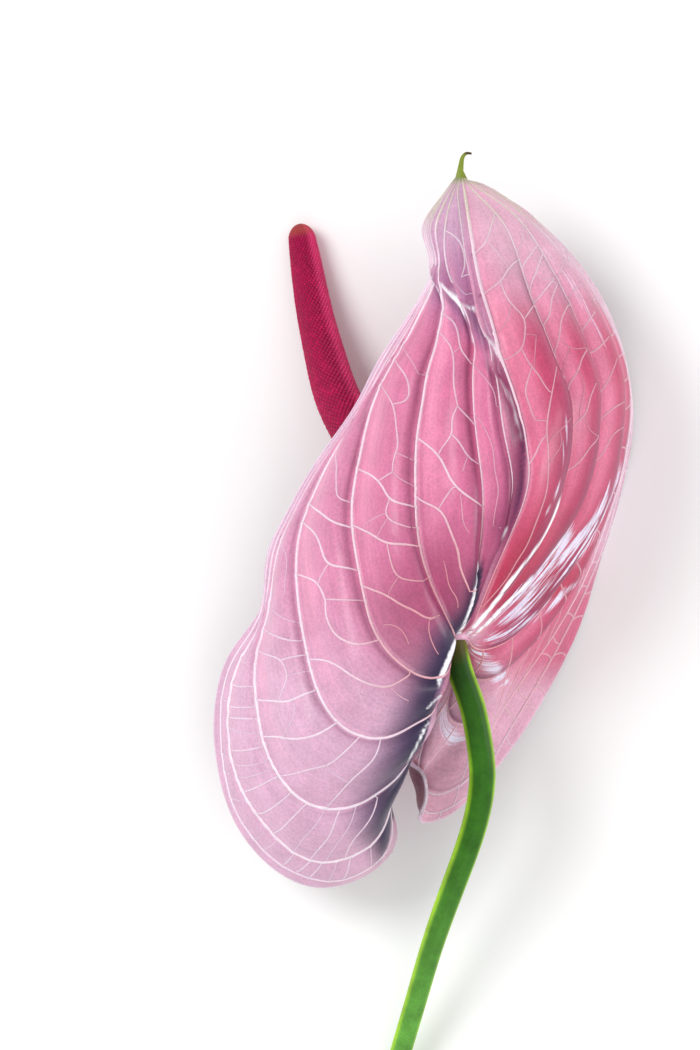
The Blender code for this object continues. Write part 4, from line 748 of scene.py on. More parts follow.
    def beside(self, band: Band) -> tuple[Array, Array, Array]:
        """Measure how each point of the blade lies beside a band, seen from above.

        Args:
            band: The band.

        Returns:
            The distance from its middle, plus on its left; the share along it; its half width.
        """
        line, length = smooth_line(np.reshape(band.points, (-1, 2)), 10)
        places = self.points[:, :, :2].reshape(-1, 1, 2)
        gaps = ((places - line[None]) ** 2).sum(axis=2)
        near = gaps.argmin(axis=1)
        ahead = unit(np.gradient(line, axis=0))[near]
        miss = places[:, 0] - line[near]
        away = np.sqrt(gaps[np.arange(len(near)), near])
        away = away * np.where(ahead[:, 0] * miss[:, 1] - ahead[:, 1] * miss[:, 0] < 0.0, -1.0, 1.0)
        share = (length[near] / length[-1]).reshape(self.points.shape[:2])
        away = away.reshape(self.points.shape[:2])
        first, last = (self.first_column[GUIDE_NAMES.index(name)] for name in band.guides)
        outside = (np.arange(self.columns) < first) | (np.arange(self.columns) > last)
        away[:, outside] = 99.0
        return away, share, np.interp(share, (0.0, 1.0), band.half_width)


@dataclass
class Vein:
    """One vein on the blade."""

    rank: Rank
    paleness: Array  # how pale it is at each of its points
    rows: Array
    columns: Array
    half_width: Array  # its half width there


@dataclass
class VeinNet:
    """All veins of the spathe: the main ones, the net read from behind, and the grown rungs."""

    surface: BladeSurface
    seed: int = 7  # seed of the draws that place the rungs
    main_start: float = 0.012  # where the main veins begin, as a share of the way from the collar
    cross_step: float = 0.7  # spacing of the points of a small vein
    # Panels that get rungs, each named by the guide on its left.
    grown_panels: tuple[str, ...] = (
        "right_3", "right_4", "right_5", "right_collective", "right_curl")
    rung_spacing: float = 6.5  # mean spacing of the rungs
    rung_jitter: float = 0.3  # how uneven it is
    rung_paleness: float = 0.62  # how pale the rungs are
    rim_reach: float = 0.9  # how far across the outermost panel its rungs reach
    join_reach: float = 2.6  # how far a small vein's end reaches for the next vein
    veins: list[Vein] = field(default_factory=list)

    def __post_init__(self) -> None:
        """Grow every vein."""
        self.grow_main()
        self.grow_net()
        self.grow_rungs()
        self.join_ends()

    def grow_main(self) -> None:
        """Lay a main vein along each guide that carries one."""
        surface = self.surface
        gaps = np.linalg.norm(np.diff(surface.guides, axis=0), axis=2)
        for order, guide in enumerate(GUIDES):
            if guide.vein_width == 0.0:
                continue
            first = np.searchsorted(surface.shares, self.main_start)
            rows = np.arange(first, surface.rows, dtype=float)
            share = surface.shares[first:]
            # A main vein thins towards both ends, but the midrib thickens towards the tip.
            taper = (0.55 + 0.45 * ease(share / 0.25)) * (1 - 0.30 * ease((share - 0.55) / 0.4))
            if order == MIDRIB:
                taper = 0.6 + 0.9 * ease((share - 0.40) / 0.35)
            room = np.minimum(gaps[order - 1], gaps[min(order, len(gaps) - 1)])[first:]
            half = np.minimum(0.5 * guide.vein_width * taper, 0.22 * room)
            columns = np.full(len(rows), float(surface.first_column[order]))
            paleness = (0.65 + 0.33 * guide.vein_width) * (0.4 + 0.6 * ease(room / 2.5))
            self.veins.append(Vein(MAIN, paleness, rows, columns, half))

    def grow_net(self) -> None:
        """Lay each vein of the net on the blade, as it is seen from behind."""
        for name, veins in NET.items():
            for rank, points in veins:
                line, length = smooth_line(np.reshape(points, (-1, 2)))
                count = max(3, int(length[-1] / self.cross_step))
                places = read_line(line, length, np.linspace(0.0, length[-1], count))
                rows, columns = self.surface.locate(GUIDE_NAMES.index(name), places)
                taper = 1 - 0.3 * np.abs(np.linspace(-1.0, 1.0, count)) ** 3
                paleness = {STRONG: 0.72, CROSS: 0.58}.get(rank, 0.42)
                half = 0.5 * rank.value[0] * taper
                self.veins.append(Vein(rank, np.full(count, paleness), rows, columns, half))

    def grow_rungs(self) -> None:
        """Lay slanting rungs across the panels whose net is out of sight or blurred."""
        surface = self.surface
        rng = np.random.default_rng(self.seed)
        steps = 9
        across = np.linspace(0.0, 1.0, steps)
        for name in self.grown_panels:
            panel = GUIDE_NAMES.index(name)
            length = running_length(surface.guides[panel])
            low, high = surface.first_column[panel], surface.first_column[panel + 1]
            reach = self.rim_reach if high == surface.columns - 1 else 1.0
            columns = low + reach * (high - low) * across
            place = self.rung_spacing
            while place < 0.93 * length[-1]:
                slant = rng.uniform(1.0, 3.5)
                bow = rng.uniform(-0.8, 0.8) * np.sin(math.pi * across)
                rows = np.interp(place + slant * across + bow, length, np.arange(len(length)))
                half = np.full(steps, 0.5 * CROSS.value[0])
                paleness = np.full(steps, self.rung_paleness)
                self.veins.append(Vein(CROSS, paleness, rows, columns, half))
                place += self.rung_spacing * rng.uniform(
                    1 - self.rung_jitter, 1 + self.rung_jitter)

    def join_ends(self) -> None:
        """Run both ends of each small vein on to the nearest other vein, where one is near."""
        surface = self.surface
        tree = KDTree(sum(len(vein.rows) for vein in self.veins))
        owners, steps = [], []
        for number, vein in enumerate(self.veins):
            for step, place in enumerate(surface.read(surface.points, vein.rows, vein.columns)):
                tree.insert(place, len(owners))
                owners.append(number)
                steps.append(step)
        tree.balance()
        joined = []
        for number, vein in enumerate(self.veins):
            rows, columns = vein.rows, vein.columns
            half, paleness = vein.half_width, vein.paleness
            if vein.rank is MAIN:
                joined.append(vein)
                continue
            for end in (0, -1):
                # An end at the right margin stays where it is.
                if columns[end] > surface.columns - 2:
                    continue
                place = surface.read(surface.points, rows[[end]], columns[[end]])[0]
                near = [spot for spot in tree.find_range(Vector(place), self.join_reach)
                        if owners[spot[1]] != number]
                if not near:
                    continue
                spot = min(near, key=lambda found: found[2])[1]
                other = self.veins[owners[spot]]
                at = 0 if end == 0 else len(rows)
                row, column = other.rows[steps[spot]], other.columns[steps[spot]]
                middle = (0.5 * (rows[end] + row), 0.5 * (columns[end] + column))
                order = [(row, column), middle] if end == 0 else [middle, (row, column)]
                rows = np.insert(rows, at, [pair[0] for pair in order])
                columns = np.insert(columns, at, [pair[1] for pair in order])
                half = np.insert(half, at, [half[end]] * 2)
                paleness = np.insert(paleness, at, [paleness[end]] * 2)
            joined.append(Vein(vein.rank, paleness, rows, columns, half))
        self.veins = joined

    def closeness(self, reach: float) -> Array:
        """Work out how close each point of the blade is to a vein.

        Args:
            reach: How far from a vein's edge it still counts.

        Returns:
            1 on a vein and 0 away from all, for each row and column.
        """
        surface = self.surface
        places, halves = [], []
        for vein in self.veins:
            known = np.arange(len(vein.rows))
            fine = np.linspace(0, len(known) - 1, 2 * len(known))
            rows = np.interp(fine, known, vein.rows)
            columns = np.interp(fine, known, vein.columns)
            places.append(surface.read(surface.points, rows, columns))
            halves.append(np.interp(fine, known, vein.half_width))
        places = np.concatenate(places)
        halves = np.concatenate(halves)
        tree = KDTree(len(places))
        for index, place in enumerate(places):
            tree.insert(place, index)
        tree.balance()
        near = [tree.find(Vector(point)) for point in surface.points.reshape(-1, 3)]
        # A vein counts from inside its edge, and a fine one less than a main one.
        away = np.array([found[2] - 0.7 * halves[found[1]] for found in near])
        strength = np.clip(halves[[found[1] for found in near]] / 0.45, 0.25, 1.0)
        close = strength * np.exp(-(np.maximum(away, 0.0) / reach) ** 2)
        return close.reshape(surface.points.shape[:2])


@dataclass(frozen=True)
class Layer:
    """A colour laid over those below it, as far as a surface value says.

    Args:
        value: The attribute that it follows.
        colour: Its sRGB hex colour.
        start: The value where it begins.
        full: The value where it is at its strongest.
        strength: How much it covers there.
        ragged: How much the fibres of the tissue break its edge.
    """

    value: str
    colour: str
    start: float
    full: float
    strength: float
    ragged: float = 0.0


def linear(colour: str) -> tuple[float, float, float, float]:
    """Turn an sRGB colour linear.

    Args:
        colour: The colour as six hex digits.

    Returns:
        Its linear red, green and blue, and a full alpha.
    """
    parts = [int(colour.lstrip("#")[k:k + 2], 16) / 255.0 for k in (0, 2, 4)]
    red, green, blue = (p / 12.92 if p <= 0.04045 else ((p + 0.055) / 1.055) ** 2.4 for p in parts)
    return red, green, blue, 1.0


def add_node(tree: Tree, kind: str, settings: dict | None = None,
             links: dict | None = None) -> Node:
    """Add one node with its settings and links.

    Args:
        tree: The tree that it goes in.
        kind: Its type, without the first word, ShaderNode.
        settings: Properties by name, or input values by name or number.
        links: What feeds its inputs, by name or number: a socket, or a node's first output.

    Returns:
        The node.
    """
    node = tree.nodes.new("ShaderNode" + kind)
    for key, value in (settings or {}).items():
        if isinstance(key, str) and key.islower():
            setattr(node, key, value)
        else:
            node.inputs[key].default_value = value
    for key, source in (links or {}).items():
        tree.links.new(getattr(source, "outputs", (source,))[0], node.inputs[key])
    return node


@dataclass(frozen=True)
class PlantTissue:
    """Living tissue under a thin wax skin: layered colours, mottling, fine cells and gloss.

    Args:
        name: The material's name.
        colour: Its ground colour, sRGB hex.
        layers: The colours laid over the ground, in order.
        mottle: Size of the cloudy mottling and how much it changes the colour.
        grain: Size of the fine grain and how much it changes the colour.
        cell: Size of the skin's cells and their depth.
        fibre: Fibres along the blade for each width of its UV map, and their strength.
        net: Width of the meshes of the finest veins and how much they show.
        roughness: Smoothest and roughest places.
        coat: Weight and roughness of the wax.
        glow: How much light passes through and how far.
        gloss: How strongly the bare skin mirrors light; 0.5 is a flat surface's share.
        florets: Whether the piece's UV map is divided into diamond-shaped florets.
        swing: The range of a noise that its mapping spreads over a whole change.
        scatter: How far red, green and blue light pass through, as shares of the glow.
        refraction: The index of refraction of its wet cells.
        bump: How strongly the cells and the florets bend the light.
        fibre_depth: How deep the furrows between the fibres are.
        floret_depth: How deep the seams between the florets are.
    """

    name: str
    colour: str
    layers: tuple[Layer, ...] = ()
    mottle: tuple[float, float] = (6.0, 0.10)
    grain: tuple[float, float] = (0.5, 0.10)
    cell: tuple[float, float] = (0.30, 0.020)
    fibre: tuple[float, float] = (0.0, 0.0)
    net: tuple[float, float] = (0.0, 0.0)
    roughness: tuple[float, float] = (0.30, 0.42)
    coat: tuple[float, float] = (0.30, 0.16)
    glow: tuple[float, float] = (0.20, 1.2)
    gloss: float = 0.38
    florets: bool = False
    swing: tuple[float, float] = (0.3, 0.7)
    scatter: tuple[float, float, float] = (1.0, 0.45, 0.5)
    refraction: float = 1.38
    bump: float = 0.6
    fibre_depth: float = 0.12
    floret_depth: float = 0.20

    @staticmethod
    def floret_dome(tree: Tree, place: Socket) -> Node:
        """Shape a dome for each floret between the two families of spirals.

        Args:
            tree: The material's tree.
            place: The UV map, in widths of a floret.

        Returns:
            The node with the height, 0 in the seams and 1 on top.
        """
        node = partial(add_node, tree, "Math")
        parts = add_node(tree, "SeparateXYZ", None, {0: place}).outputs
        waves = []
        for way in ("ADD", "SUBTRACT"):
            spiral = node({"operation": way}, {0: parts[1], 1: parts[0]})
            turned = node({"operation": "MULTIPLY", 1: math.pi}, {0: spiral})
            waves.append(node({"operation": "SINE"}, {0: turned}))
        both = node({"operation": "MULTIPLY"}, {0: waves[0], 1: waves[1]})
        return node({"operation": "ABSOLUTE"}, {0: both})

    def pigment(self, tree: Tree, threads: Node, dome: Node | None) -> Socket:
        """Lay the colours over the ground.

        Args:
            tree: The material's tree.
            threads: The fibres, which break up the edge of a ragged layer.
            dome: The height of the florets, where there are any.

        Returns:
            The colour.
        """
        node = partial(add_node, tree)
        ground = node("RGB")
        ground.outputs[0].default_value = linear(self.colour)
        colour = ground.outputs[0]
        for layer in self.layers:
            value = dome
            if layer.value != "floret":
                value = node("Attribute", {"attribute_name": layer.value}).outputs["Fac"]
            if layer.ragged > 0.0:
                broken = node("MapRange", {
                    "From Min": self.swing[0], "From Max": self.swing[1],
                    "To Min": 1 - layer.ragged, "To Max": 1 + layer.ragged}, {"Value": threads})
                value = node("Math", {"operation": "MULTIPLY"}, {0: value, 1: broken})
            amount = node("MapRange", {
                "interpolation_type": "SMOOTHSTEP", "From Min": layer.start,
                "From Max": layer.full, "To Min": 0.0, "To Max": layer.strength},
                {"Value": value})
            colour = node("Mix", {"data_type": "RGBA", 7: linear(layer.colour)},
                          {0: amount, 6: colour}).outputs[2]
        return colour

    def lightness(self, tree: Tree, place: Socket, cloud: Node, threads: Node) -> Node:
        """Work out how much lighter or darker the colour is.

        Args:
            tree: The material's tree.
            place: The place on the piece, in metres.
            cloud: The cloudy mottling.
            threads: The fibres.

        Returns:
            The node with the factor, about 1.
        """
        node = partial(add_node, tree)
        # The tissue is cloudy: pigment lies in patches a few millimetres wide.
        patches = node("MapRange", {
            "From Min": self.swing[0], "From Max": self.swing[1],
            "To Min": 1 - self.mottle[1], "To Max": 1 + self.mottle[1]}, {"Value": cloud})
        # Cells and fibres under the skin give it a fine grain, half a millimetre wide.
        grain = node("TexNoise", {"Scale": 1.0 / (self.grain[0] * MM), "Detail": 3.0},
                     {"Vector": place})
        both = node("Math", {"operation": "ADD"}, {0: grain, 1: threads})
        fine = node("MapRange", {
            "From Min": 0.7, "From Max": 1.3,
            "To Min": 1 - self.grain[1], "To Max": 1 + self.grain[1]}, {"Value": both})
        light = node("Math", {"operation": "MULTIPLY"}, {0: patches, 1: fine})
        if self.net[0] == 0.0:
            return light
        # The finest veins close into meshes about as wide as a pin's head.
        meshes = node("TexVoronoi", {
            "feature": "DISTANCE_TO_EDGE", "Scale": 1.0 / (self.net[0] * MM)}, {"Vector": place})
        thread = node("MapRange", {
            "interpolation_type": "SMOOTHSTEP", "From Min": 0.0, "From Max": 0.16,
            "To Min": 1 + self.net[1], "To Max": 1 - 0.3 * self.net[1]},
            {"Value": meshes.outputs["Distance"]})
        return node("Math", {"operation": "MULTIPLY"}, {0: light, 1: thread})

    def skin(self, tree: Tree, place: Socket, threads: Node, dome: Node | None) -> Node:
        """Roughen the skin with its cells, its fibres and its florets.

        Args:
            tree: The material's tree.
            place: The place on the piece, in metres.
            threads: The fibres.
            dome: The height of the florets, where there are any.

        Returns:
            The node with the bent normal.
        """
        node = partial(add_node, tree)
        cells = node("TexVoronoi", {"Scale": 1.0 / (self.cell[0] * MM)}, {"Vector": place})
        bump = node("Bump", {"Strength": self.bump, "Distance": self.cell[1] * MM},
                    {"Height": cells.outputs["Distance"]})
        if self.fibre[0] > 0.0:
            bump = node(
                "Bump", {"Strength": self.fibre[1], "Distance": self.fibre_depth * MM},
                {"Height": threads, "Normal": bump})
        if dome is not None:
            bump = node("Bump", {"Strength": self.bump, "Distance": self.floret_depth * MM},
                        {"Height": dome, "Normal": bump})
        return bump

    def build(self) -> bpy.types.Material:
        """Make the material.

        Returns:
            The material, which reads a piece's UV map and its surface values.
        """
        made = bpy.data.materials.new(self.name)
        made.use_nodes = True
        tree = made.node_tree
        tree.nodes.clear()
        node = partial(add_node, tree)
        # The fibres run along the blade, so their noise is squeezed across it on the UV map.
        coordinates = node("TexCoord").outputs
        place = coordinates["Object"]
        stretched = node("Mapping", {"Scale": (max(self.fibre[0], 1.0), 9.0, 1.0)},
                         {"Vector": coordinates["UV"]})
        threads = node("TexNoise", {"Scale": 1.0, "Detail": 4.0}, {"Vector": stretched})
        cloud = node("TexNoise", {"Scale": 1.0 / (self.mottle[0] * MM), "Detail": 5.0},
                     {"Vector": place})
        dome = self.floret_dome(tree, coordinates["UV"]) if self.florets else None
        colour = node("HueSaturation", {"Fac": 1.0}, {
            "Color": self.pigment(tree, threads, dome),
            "Value": self.lightness(tree, place, cloud, threads)})
        wax = node("MapRange", {
            "From Min": self.swing[0], "From Max": self.swing[1],
            "To Min": self.roughness[0], "To Max": self.roughness[1]}, {"Value": cloud})
        shader = node("BsdfPrincipled", {
            "IOR": self.refraction, "Specular IOR Level": self.gloss,
            "Coat Weight": self.coat[0], "Coat Roughness": self.coat[1],
            "Subsurface Weight": self.glow[0], "Subsurface Scale": self.glow[1] * MM,
            "Subsurface Radius": self.scatter}, {
            "Base Color": colour, "Roughness": wax,
            "Normal": self.skin(tree, place, threads, dome)})
        node("OutputMaterial", None, {"Surface": shader})
        made.diffuse_color = linear(self.colour)
        return made


# Pigment of the spathe: mauve at the left, rose at the right, deep at the stalk.
PIGMENT = (
    Layer("middle", "#CC6A92", 0.05, 0.90, 0.95),
    Layer("right", "#C2446A", 0.20, 0.85, 0.95),
    Layer("pale", "#DCAFC5", 0.0, 1.0, 0.90),
    Layer("base", "#902C56", 0.35, 1.0, 0.70),
    Layer("crimson", "#AE173F", 0.20, 0.85, 0.84),
    Layer("hood", "#98658E", 0.2, 1.0, 0.78),
    Layer("hood_top", "#CFACC4", 0.0, 1.0, 0.62))
# Outer skin of the spathe. The real skin is a thin wax over pink cells: the eye sees a soft,
# slightly cloudy pink that turns to white gloss on each ridge and to plum where it turns away;
# here that white gloss is painted highlight and that plum colour is painted shade.
OUTER_SKIN = PlantTissue(
    "waxy spathe tissue", "#D1A6C0",
    PIGMENT + (
        # Painted light on the cheek and lip of each swelling panel, painted shade in its hollow.
        Layer("cheek", "#F09DBC", 0.1, 1.0, 0.55),
        Layer("lip", "#F6BFD3", 0.1, 1.0, 0.45),
        Layer("hollow", "#6F2450", 0.15, 1.0, 0.66),
        # Painted shade: plum, dusky and blackish strips beside veins and folds, and the turned-over
        # curl.
        Layer("plum", "#7C2350", 0.10, 0.95, 0.85),
        Layer("dusk", "#624A6C", 0.05, 1.0, 0.85),
        Layer("shade", "#2B2143", 0.08, 0.80, 0.95),
        Layer("curl", "#6A3A45", 0.2, 1.0, 0.85),
        Layer("vein", "#E9A9C6", 0.25, 1.0, 0.40),
        # Painted highlight: white streaks, white gloss on ridges and creases, and the pale rim.
        Layer("silk", "#E0DAEE", 0.30, 0.74, 0.95, 1.0),
        Layer("sheen", "#F8F7FD", 0.20, 0.70, 1.0, 0.10),
        Layer("rim", "#E4D5E6", 0.3, 1.0, 0.70),
        Layer("tip", "#7E8F2C", 0.3, 1.0, 1.0),
        Layer("hook", "#3A2A18", 0.2, 1.0, 0.9)),
    mottle=(5.0, 0.08), fibre=(230.0, 0.35), net=(1.1, 0.07), coat=(0.12, 0.16))
# Inner skin, deeper in colour. The real one is lacquered by its wax: the eye sees a deep rose
# with sharp lights.
INNER_SKIN = PlantTissue(
    "glossy inner spathe tissue", "#B5466F",
    (Layer("vein", "#A03C62", 0.15, 1.0, 0.6),
     Layer("base", "#B02E5E", 0.15, 0.85, 0.6),
     # Painted shade on the turned-over curl.
     Layer("curl", "#6A3A45", 0.2, 1.0, 0.85),
     # Painted highlight along the rim.
     Layer("rim", "#E4D5E6", 0.3, 1.0, 0.8),
     Layer("tip", "#7E8F2C", 0.3, 1.0, 1.0)),
    roughness=(0.20, 0.30), coat=(0.5, 0.10))
# Veins, salmon towards the stalk. Real veins are strands of firm, nearly colourless tissue: the
# eye sees pale cords.
VEIN_TISSUE = PlantTissue(
    "pale vein tissue", "#D7ABC8",
    PIGMENT + (
        Layer("paleness", "#F8E6EF", 0.0, 1.0, 0.78),
        Layer("salmon", "#E08A92", 0.1, 1.0, 0.75),
        Layer("tip", "#C9C6A8", 0.1, 1.0, 0.7)),
    mottle=(3.0, 0.05), cell=(0.2, 0.01), glow=(0.25, 1.0))
# Skin of the spadix, browned at the end. Real florets are matt, fleshy domes: the eye sees
# crimson beads with dark seams.
FLORET_SKIN = PlantTissue(
    "satin floret skin", "#7C0438",
    (Layer("floret", "#A60347", 0.04, 0.34, 1.0),
     Layer("draw", "#C21054", 0.45, 1.0, 0.50),
     # Painted light: the side of the spike that faces right is lighter, as if lit from there.
     Layer("ripe", "#F0427F", 0.10, 0.85, 0.80),
     Layer("end", "#B0503C", 0.2, 1.0, 0.65)),
    mottle=(4.0, 0.10), cell=(0.25, 0.02), roughness=(0.44, 0.55), coat=(0.04, 0.25),
    glow=(0.10, 0.5), gloss=0.3, florets=True)
# Skin of the peduncle, with pale pith at the cut. A real stalk is smooth but hardly glossy: the
# eye sees a cloudy green that turns yellow where the light grazes it. That yellow on its flanks is
# painted light.
STALK_SKIN = PlantTissue(
    "smooth green stalk skin", "#2E6412",
    (Layer("along", "#6BAC48", 0.30, 0.85, 0.80),
     Layer("top", "#1C4404", 0.1, 1.0, 0.80),
     # Painted light: the flanks of the stalk are yellower, where light grazes them.
     Layer("side", "#98C82A", 0.66, 1.0, 0.95),
     Layer("bruise", "#54460A", 0.2, 1.0, 0.85),
     Layer("cut", "#C9D9A0", 0.5, 1.0, 1.0)),
    mottle=(4.0, 0.22), cell=(0.25, 0.012), roughness=(0.42, 0.54), coat=(0.05, 0.25),
    glow=(0.10, 0.6), gloss=0.25)


@dataclass
class Sheet:
    """Drawing sheet shared by all pieces: it turns the working points into pieces."""

    shift: Array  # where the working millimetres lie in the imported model
    smooth_angle: float = 60.0  # the sharpest angle between faces that is shaded smooth, in degrees

    def metres(self, points: Array) -> Array:
        """Return points in metres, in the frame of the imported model."""
        return (np.asarray(points).reshape(-1, 3) + self.shift) * MM

    def grid_piece(self, name: str, points: Array) -> Piece:
        """Add a grid primitive and draw its points onto a shape.

        Args:
            name: The piece's name.
            points: Rows x columns x 3.

        Returns:
            The piece, at the origin.
        """
        rows, columns = points.shape[:2]
        bpy.ops.mesh.primitive_grid_add(
            x_subdivisions=columns - 1, y_subdivisions=rows - 1, size=1.0, calc_uvs=True)
        piece = bpy.context.active_object
        piece.name = name
        piece.data.name = name
        piece.data.vertices.foreach_set("co", self.metres(points).astype(np.float32).ravel())
        piece.data.update()
        return piece

    @staticmethod
    def note(piece: Piece, values: dict[str, Array]) -> None:
        """Keep surface values on a piece's points for its material.

        Args:
            piece: The piece.
            values: One value for each of its points, by name.
        """
        for name, value in values.items():
            kept = piece.data.attributes.new(name, "FLOAT", "POINT")
            kept.data.foreach_set("value", np.asarray(value, dtype=np.float32).ravel())

    def finish(self, piece: Piece, slot: str, *nodes: str) -> None:
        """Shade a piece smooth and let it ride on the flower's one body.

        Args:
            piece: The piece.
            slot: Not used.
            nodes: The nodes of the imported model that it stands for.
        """
        bpy.ops.object.select_all(action="DESELECT")
        piece.select_set(True)
        bpy.context.view_layer.objects.active = piece
        bpy.ops.object.shade_smooth_by_angle(angle=math.radians(self.smooth_angle))
        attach(piece, BODY)
        if nodes:
            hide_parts(*nodes)


@dataclass
class Spathe:
    """The folded bract: blade with its cusp, and the veins that stand out of it."""

    sheet: Sheet
    surface: BladeSurface
    net: VeinNet
    vein_reach: float = 0.55  # how far from a vein the skin still takes its colour
    pucker: float = 0.26  # how far the skin bulges between the veins
    pucker_reach: float = 1.3  # how far from a vein it starts to
    # The rim is thinner, and its paleness is a painted highlight along the edge.
    rim_width: float = 1.6  # width of the pale rim
    tip_y: float = 89.0  # where the green of the tip begins
    tip_blend: float = 4.0  # the length over which it grows full
    # A strip of painted shade breaks off over this width at its sharp side.
    painted_shade_edge: float = 0.4  # over how much a strip of pigment breaks off at its sharp side
    # The point: x, y, z, width and depth of places along it.
    cusp: Rows = (
        (-0.35, 94.0, 31.6, 1.15, 0.90), (-0.15, 95.4, 31.3, 0.85, 0.80),
        (0.15, 96.6, 31.0, 0.66, 0.66), (0.85, 97.35, 30.8, 0.52, 0.52),
        (1.90, 97.30, 30.6, 0.36, 0.40))
    cusp_rows: int = 14  # rows of the point
    cusp_edge_share: float = 0.35  # its thickness at its edges, as a share of its depth
    clasp_rows: int = 4  # rows of the foot that clasps the stalk
    clasp_length: float = 1.5  # its length
    clasp_radius: float = 2.75  # the radius that it draws in to
    # The points of a vein's ring: how many half widths to the side, how many heights up and how
    # many sinks down.
    section: Rows = (
        (-1.0, 0.0, 1.0), (-0.62, 0.66, 0.0), (0.0, 1.0, 0.0), (0.62, 0.66, 0.0),
        (1.0, 0.0, 1.0), (0.0, 0.0, 2.0))
    sink: float = 0.08  # how far a vein's edges lie under the skin

    @staticmethod
    def pigment_values(x: Array, y: Array, across: Array) -> dict[str, Array]:
        """Work out how much of each pigment lies at a place.

        Args:
            x: Its x.
            y: Its y.
            across: Guides between it and the midrib, minus on the left.

        Returns:
            The value of each layer of pigment.
        """
        # Each pigment grows from the y, the guide or the reach where it begins, over the span
        # that it is divided by.
        from_stem = np.hypot(x, y - 3.0)
        right = ease(0.5 + 1.2 * across)
        return {
            "middle": ease(1 + across / 9.5) * ease((y + 28.0) / 42.0),
            "right": right,
            "pale": right * np.maximum.reduce((
                ease((y - 52.0) / 30.0),
                ease((across - 2.9) / 3.0) * (0.3 + 0.7 * ease((y - 6.0) / 22.0)),
                0.8 * ease((3.0 - y) / 16.0),
                ease(1 - from_stem / 9.0))),
            "base": (1 - ease(from_stem / 42.0)) * (1 - right),
            "crimson": (1 - ease(from_stem / 60.0)) * right * (1 - ease((across - 3.5) / 2.0))
            * ease((y - 1.0) / 10.0),
            "hood": ease((y - 44.0 + 4.0 * across) / 16.0) * (1 - right),
            "hood_top": ease((y - 66.0) / 22.0) * (1 - right)}

    def values(self, close: Array) -> dict[str, Array]:
        """Work out the surface values that colour the blade.

        Args:
            close: How close each point is to a vein.

        Returns:
            One array of rows and columns for each value.
        """
        surface = self.surface
        share = surface.shares[:, None] * np.ones(surface.columns)
        x, y = surface.points[:, :, 0], surface.points[:, :, 1]
        order = (surface.panel + surface.across)[None] * np.ones((surface.rows, 1))
        values = self.pigment_values(x, y, order - MIDRIB)
        right = values["right"]
        # A panel that swells gets painted light at its left, a light cheek and a thin light lip,
        # and painted shade in the hollow where it falls to the vein at its right.
        spread = ease((share - 0.02) / 0.1) * ease((0.97 - share) / 0.3)
        wide = SWELLS[surface.panel] / 0.15
        chord = np.linalg.norm(np.diff(surface.guides, axis=0), axis=2)[surface.panel].T
        from_left = chord * surface.across
        from_right = chord * (1 - surface.across)
        cheek = np.exp(-((from_left - 0.26 * chord) / (0.24 * chord + 0.3)) ** 2)
        lip = np.exp(-((from_left - 0.85) / 0.45) ** 2)
        slope = np.exp(-(from_right / ((0.6 + 0.16 * chord) * (1 + 1.2 * right))) ** 1.3)
        foot = np.exp(-((from_right - 0.8) / 0.45) ** 2)
        edge = np.minimum(np.abs(surface.points - surface.points[:, :1]).sum(axis=2),
                          np.abs(surface.points - surface.points[:, -1:]).sum(axis=2))
        # Where the curled part past right_5 turns steep or faces the floor, it gets painted shade.
        curl = GUIDE_NAMES.index("right_5")
        values |= {
            "vein": close * (1 - 0.8 * values["base"]),
            "cheek": spread * wide * (1 - values["base"]) * (1 - 0.2 * right)
            * (1 - 0.8 * values["crimson"]) * (0.4 + 0.6 * ease((y + 34.0) / 34.0)) * cheek,
            "hollow": spread * wide * (1 - 0.5 * right * ease((y - 34.0) / 24.0))
            * ((0.66 + 0.69 * right) * slope + (0.45 + 0.4 * right) * foot),
            "lip": spread * wide * (1 - 0.5 * right) * lip,
            "curl": (order > curl) * ease(0.4 - 2.5 * surface.normals[:, :, 2]),
            # Near the margins the skin thins and takes a painted highlight.
            "rim": 1 - ease(edge / self.rim_width),
            "tip": ease((y - self.tip_y) / self.tip_blend)}
        values |= {name: np.zeros_like(y)
                   for name in ("hook", "sheen", "silk", "plum", "dusk", "shade")}
        for band in BANDS:
            self.mark(values, band)
        return values

    def mark(self, values: dict[str, Array], band: Band) -> None:
        """Lay one band over the surface values.

        Args:
            values: The surface values, which it changes.
            band: The band.
        """
        facing = self.surface.normals[:, :, 2]
        away, along, half = self.surface.beside(band)
        start, end = MARK_FADES[band.mark]
        ends = ease(along / start) * ease((1 - along) / end)
        kind = "sheen" if band.mark is CREASE else band.mark.name.lower()
        if band.mark in (SHADE, PLUM, DUSK):
            # Painted shade breaks off on the left of its line and fades out on the right.
            near = np.exp(-(away / np.where(away < 0.0, half, self.painted_shade_edge)) ** 2)
            if band.mark is SHADE:
                near = np.where(away < 0.0, np.exp(np.minimum(away, 0.0) / half), near)
                near *= 1 - 0.35 * ease((0.35 - facing) / 0.2)
            near = band.strength * near * ends
        else:
            if band.mark is SILK:
                away = away / np.clip(facing, 0.25, 1.0)
            near = band.strength * np.exp(-(away / half) ** 2) * ends
            if band.mark is SHEEN:
                near *= 0.3 + 0.7 * ease(facing / 0.3)
        values[kind] = np.maximum(values[kind], near)
        # A crease gets painted highlight along its line and painted shade below its fold.
        if band.mark is CREASE:
            below = np.exp(-((away + 2.2 * half) / (2 * half)) ** 2) * ends
            values["shade"] = np.maximum(values["shade"], 0.38 * below)

    def relief(self) -> Array:
        """Work out how far the bands lift the blade.

        Returns:
            The lift in each row and column.
        """
        lift = np.zeros(self.surface.points.shape[:2])
        for band in BANDS:
            away, along, half = self.surface.beside(band)
            ends = ease(along / 0.2) * ease((1 - along) / 0.1)
            if band.mark is CREASE:
                ends = ease(along / 0.2) * ease((1 - along) / 0.3)
                fade = np.exp(-(np.abs(away) / 3.5) ** 1.5)
                lift += 0.5 * band.rise * np.tanh(1.6 * away / half) * fade * ends
            else:
                lift += band.rise * np.exp(-(away / half) ** 2) * ends
        return lift

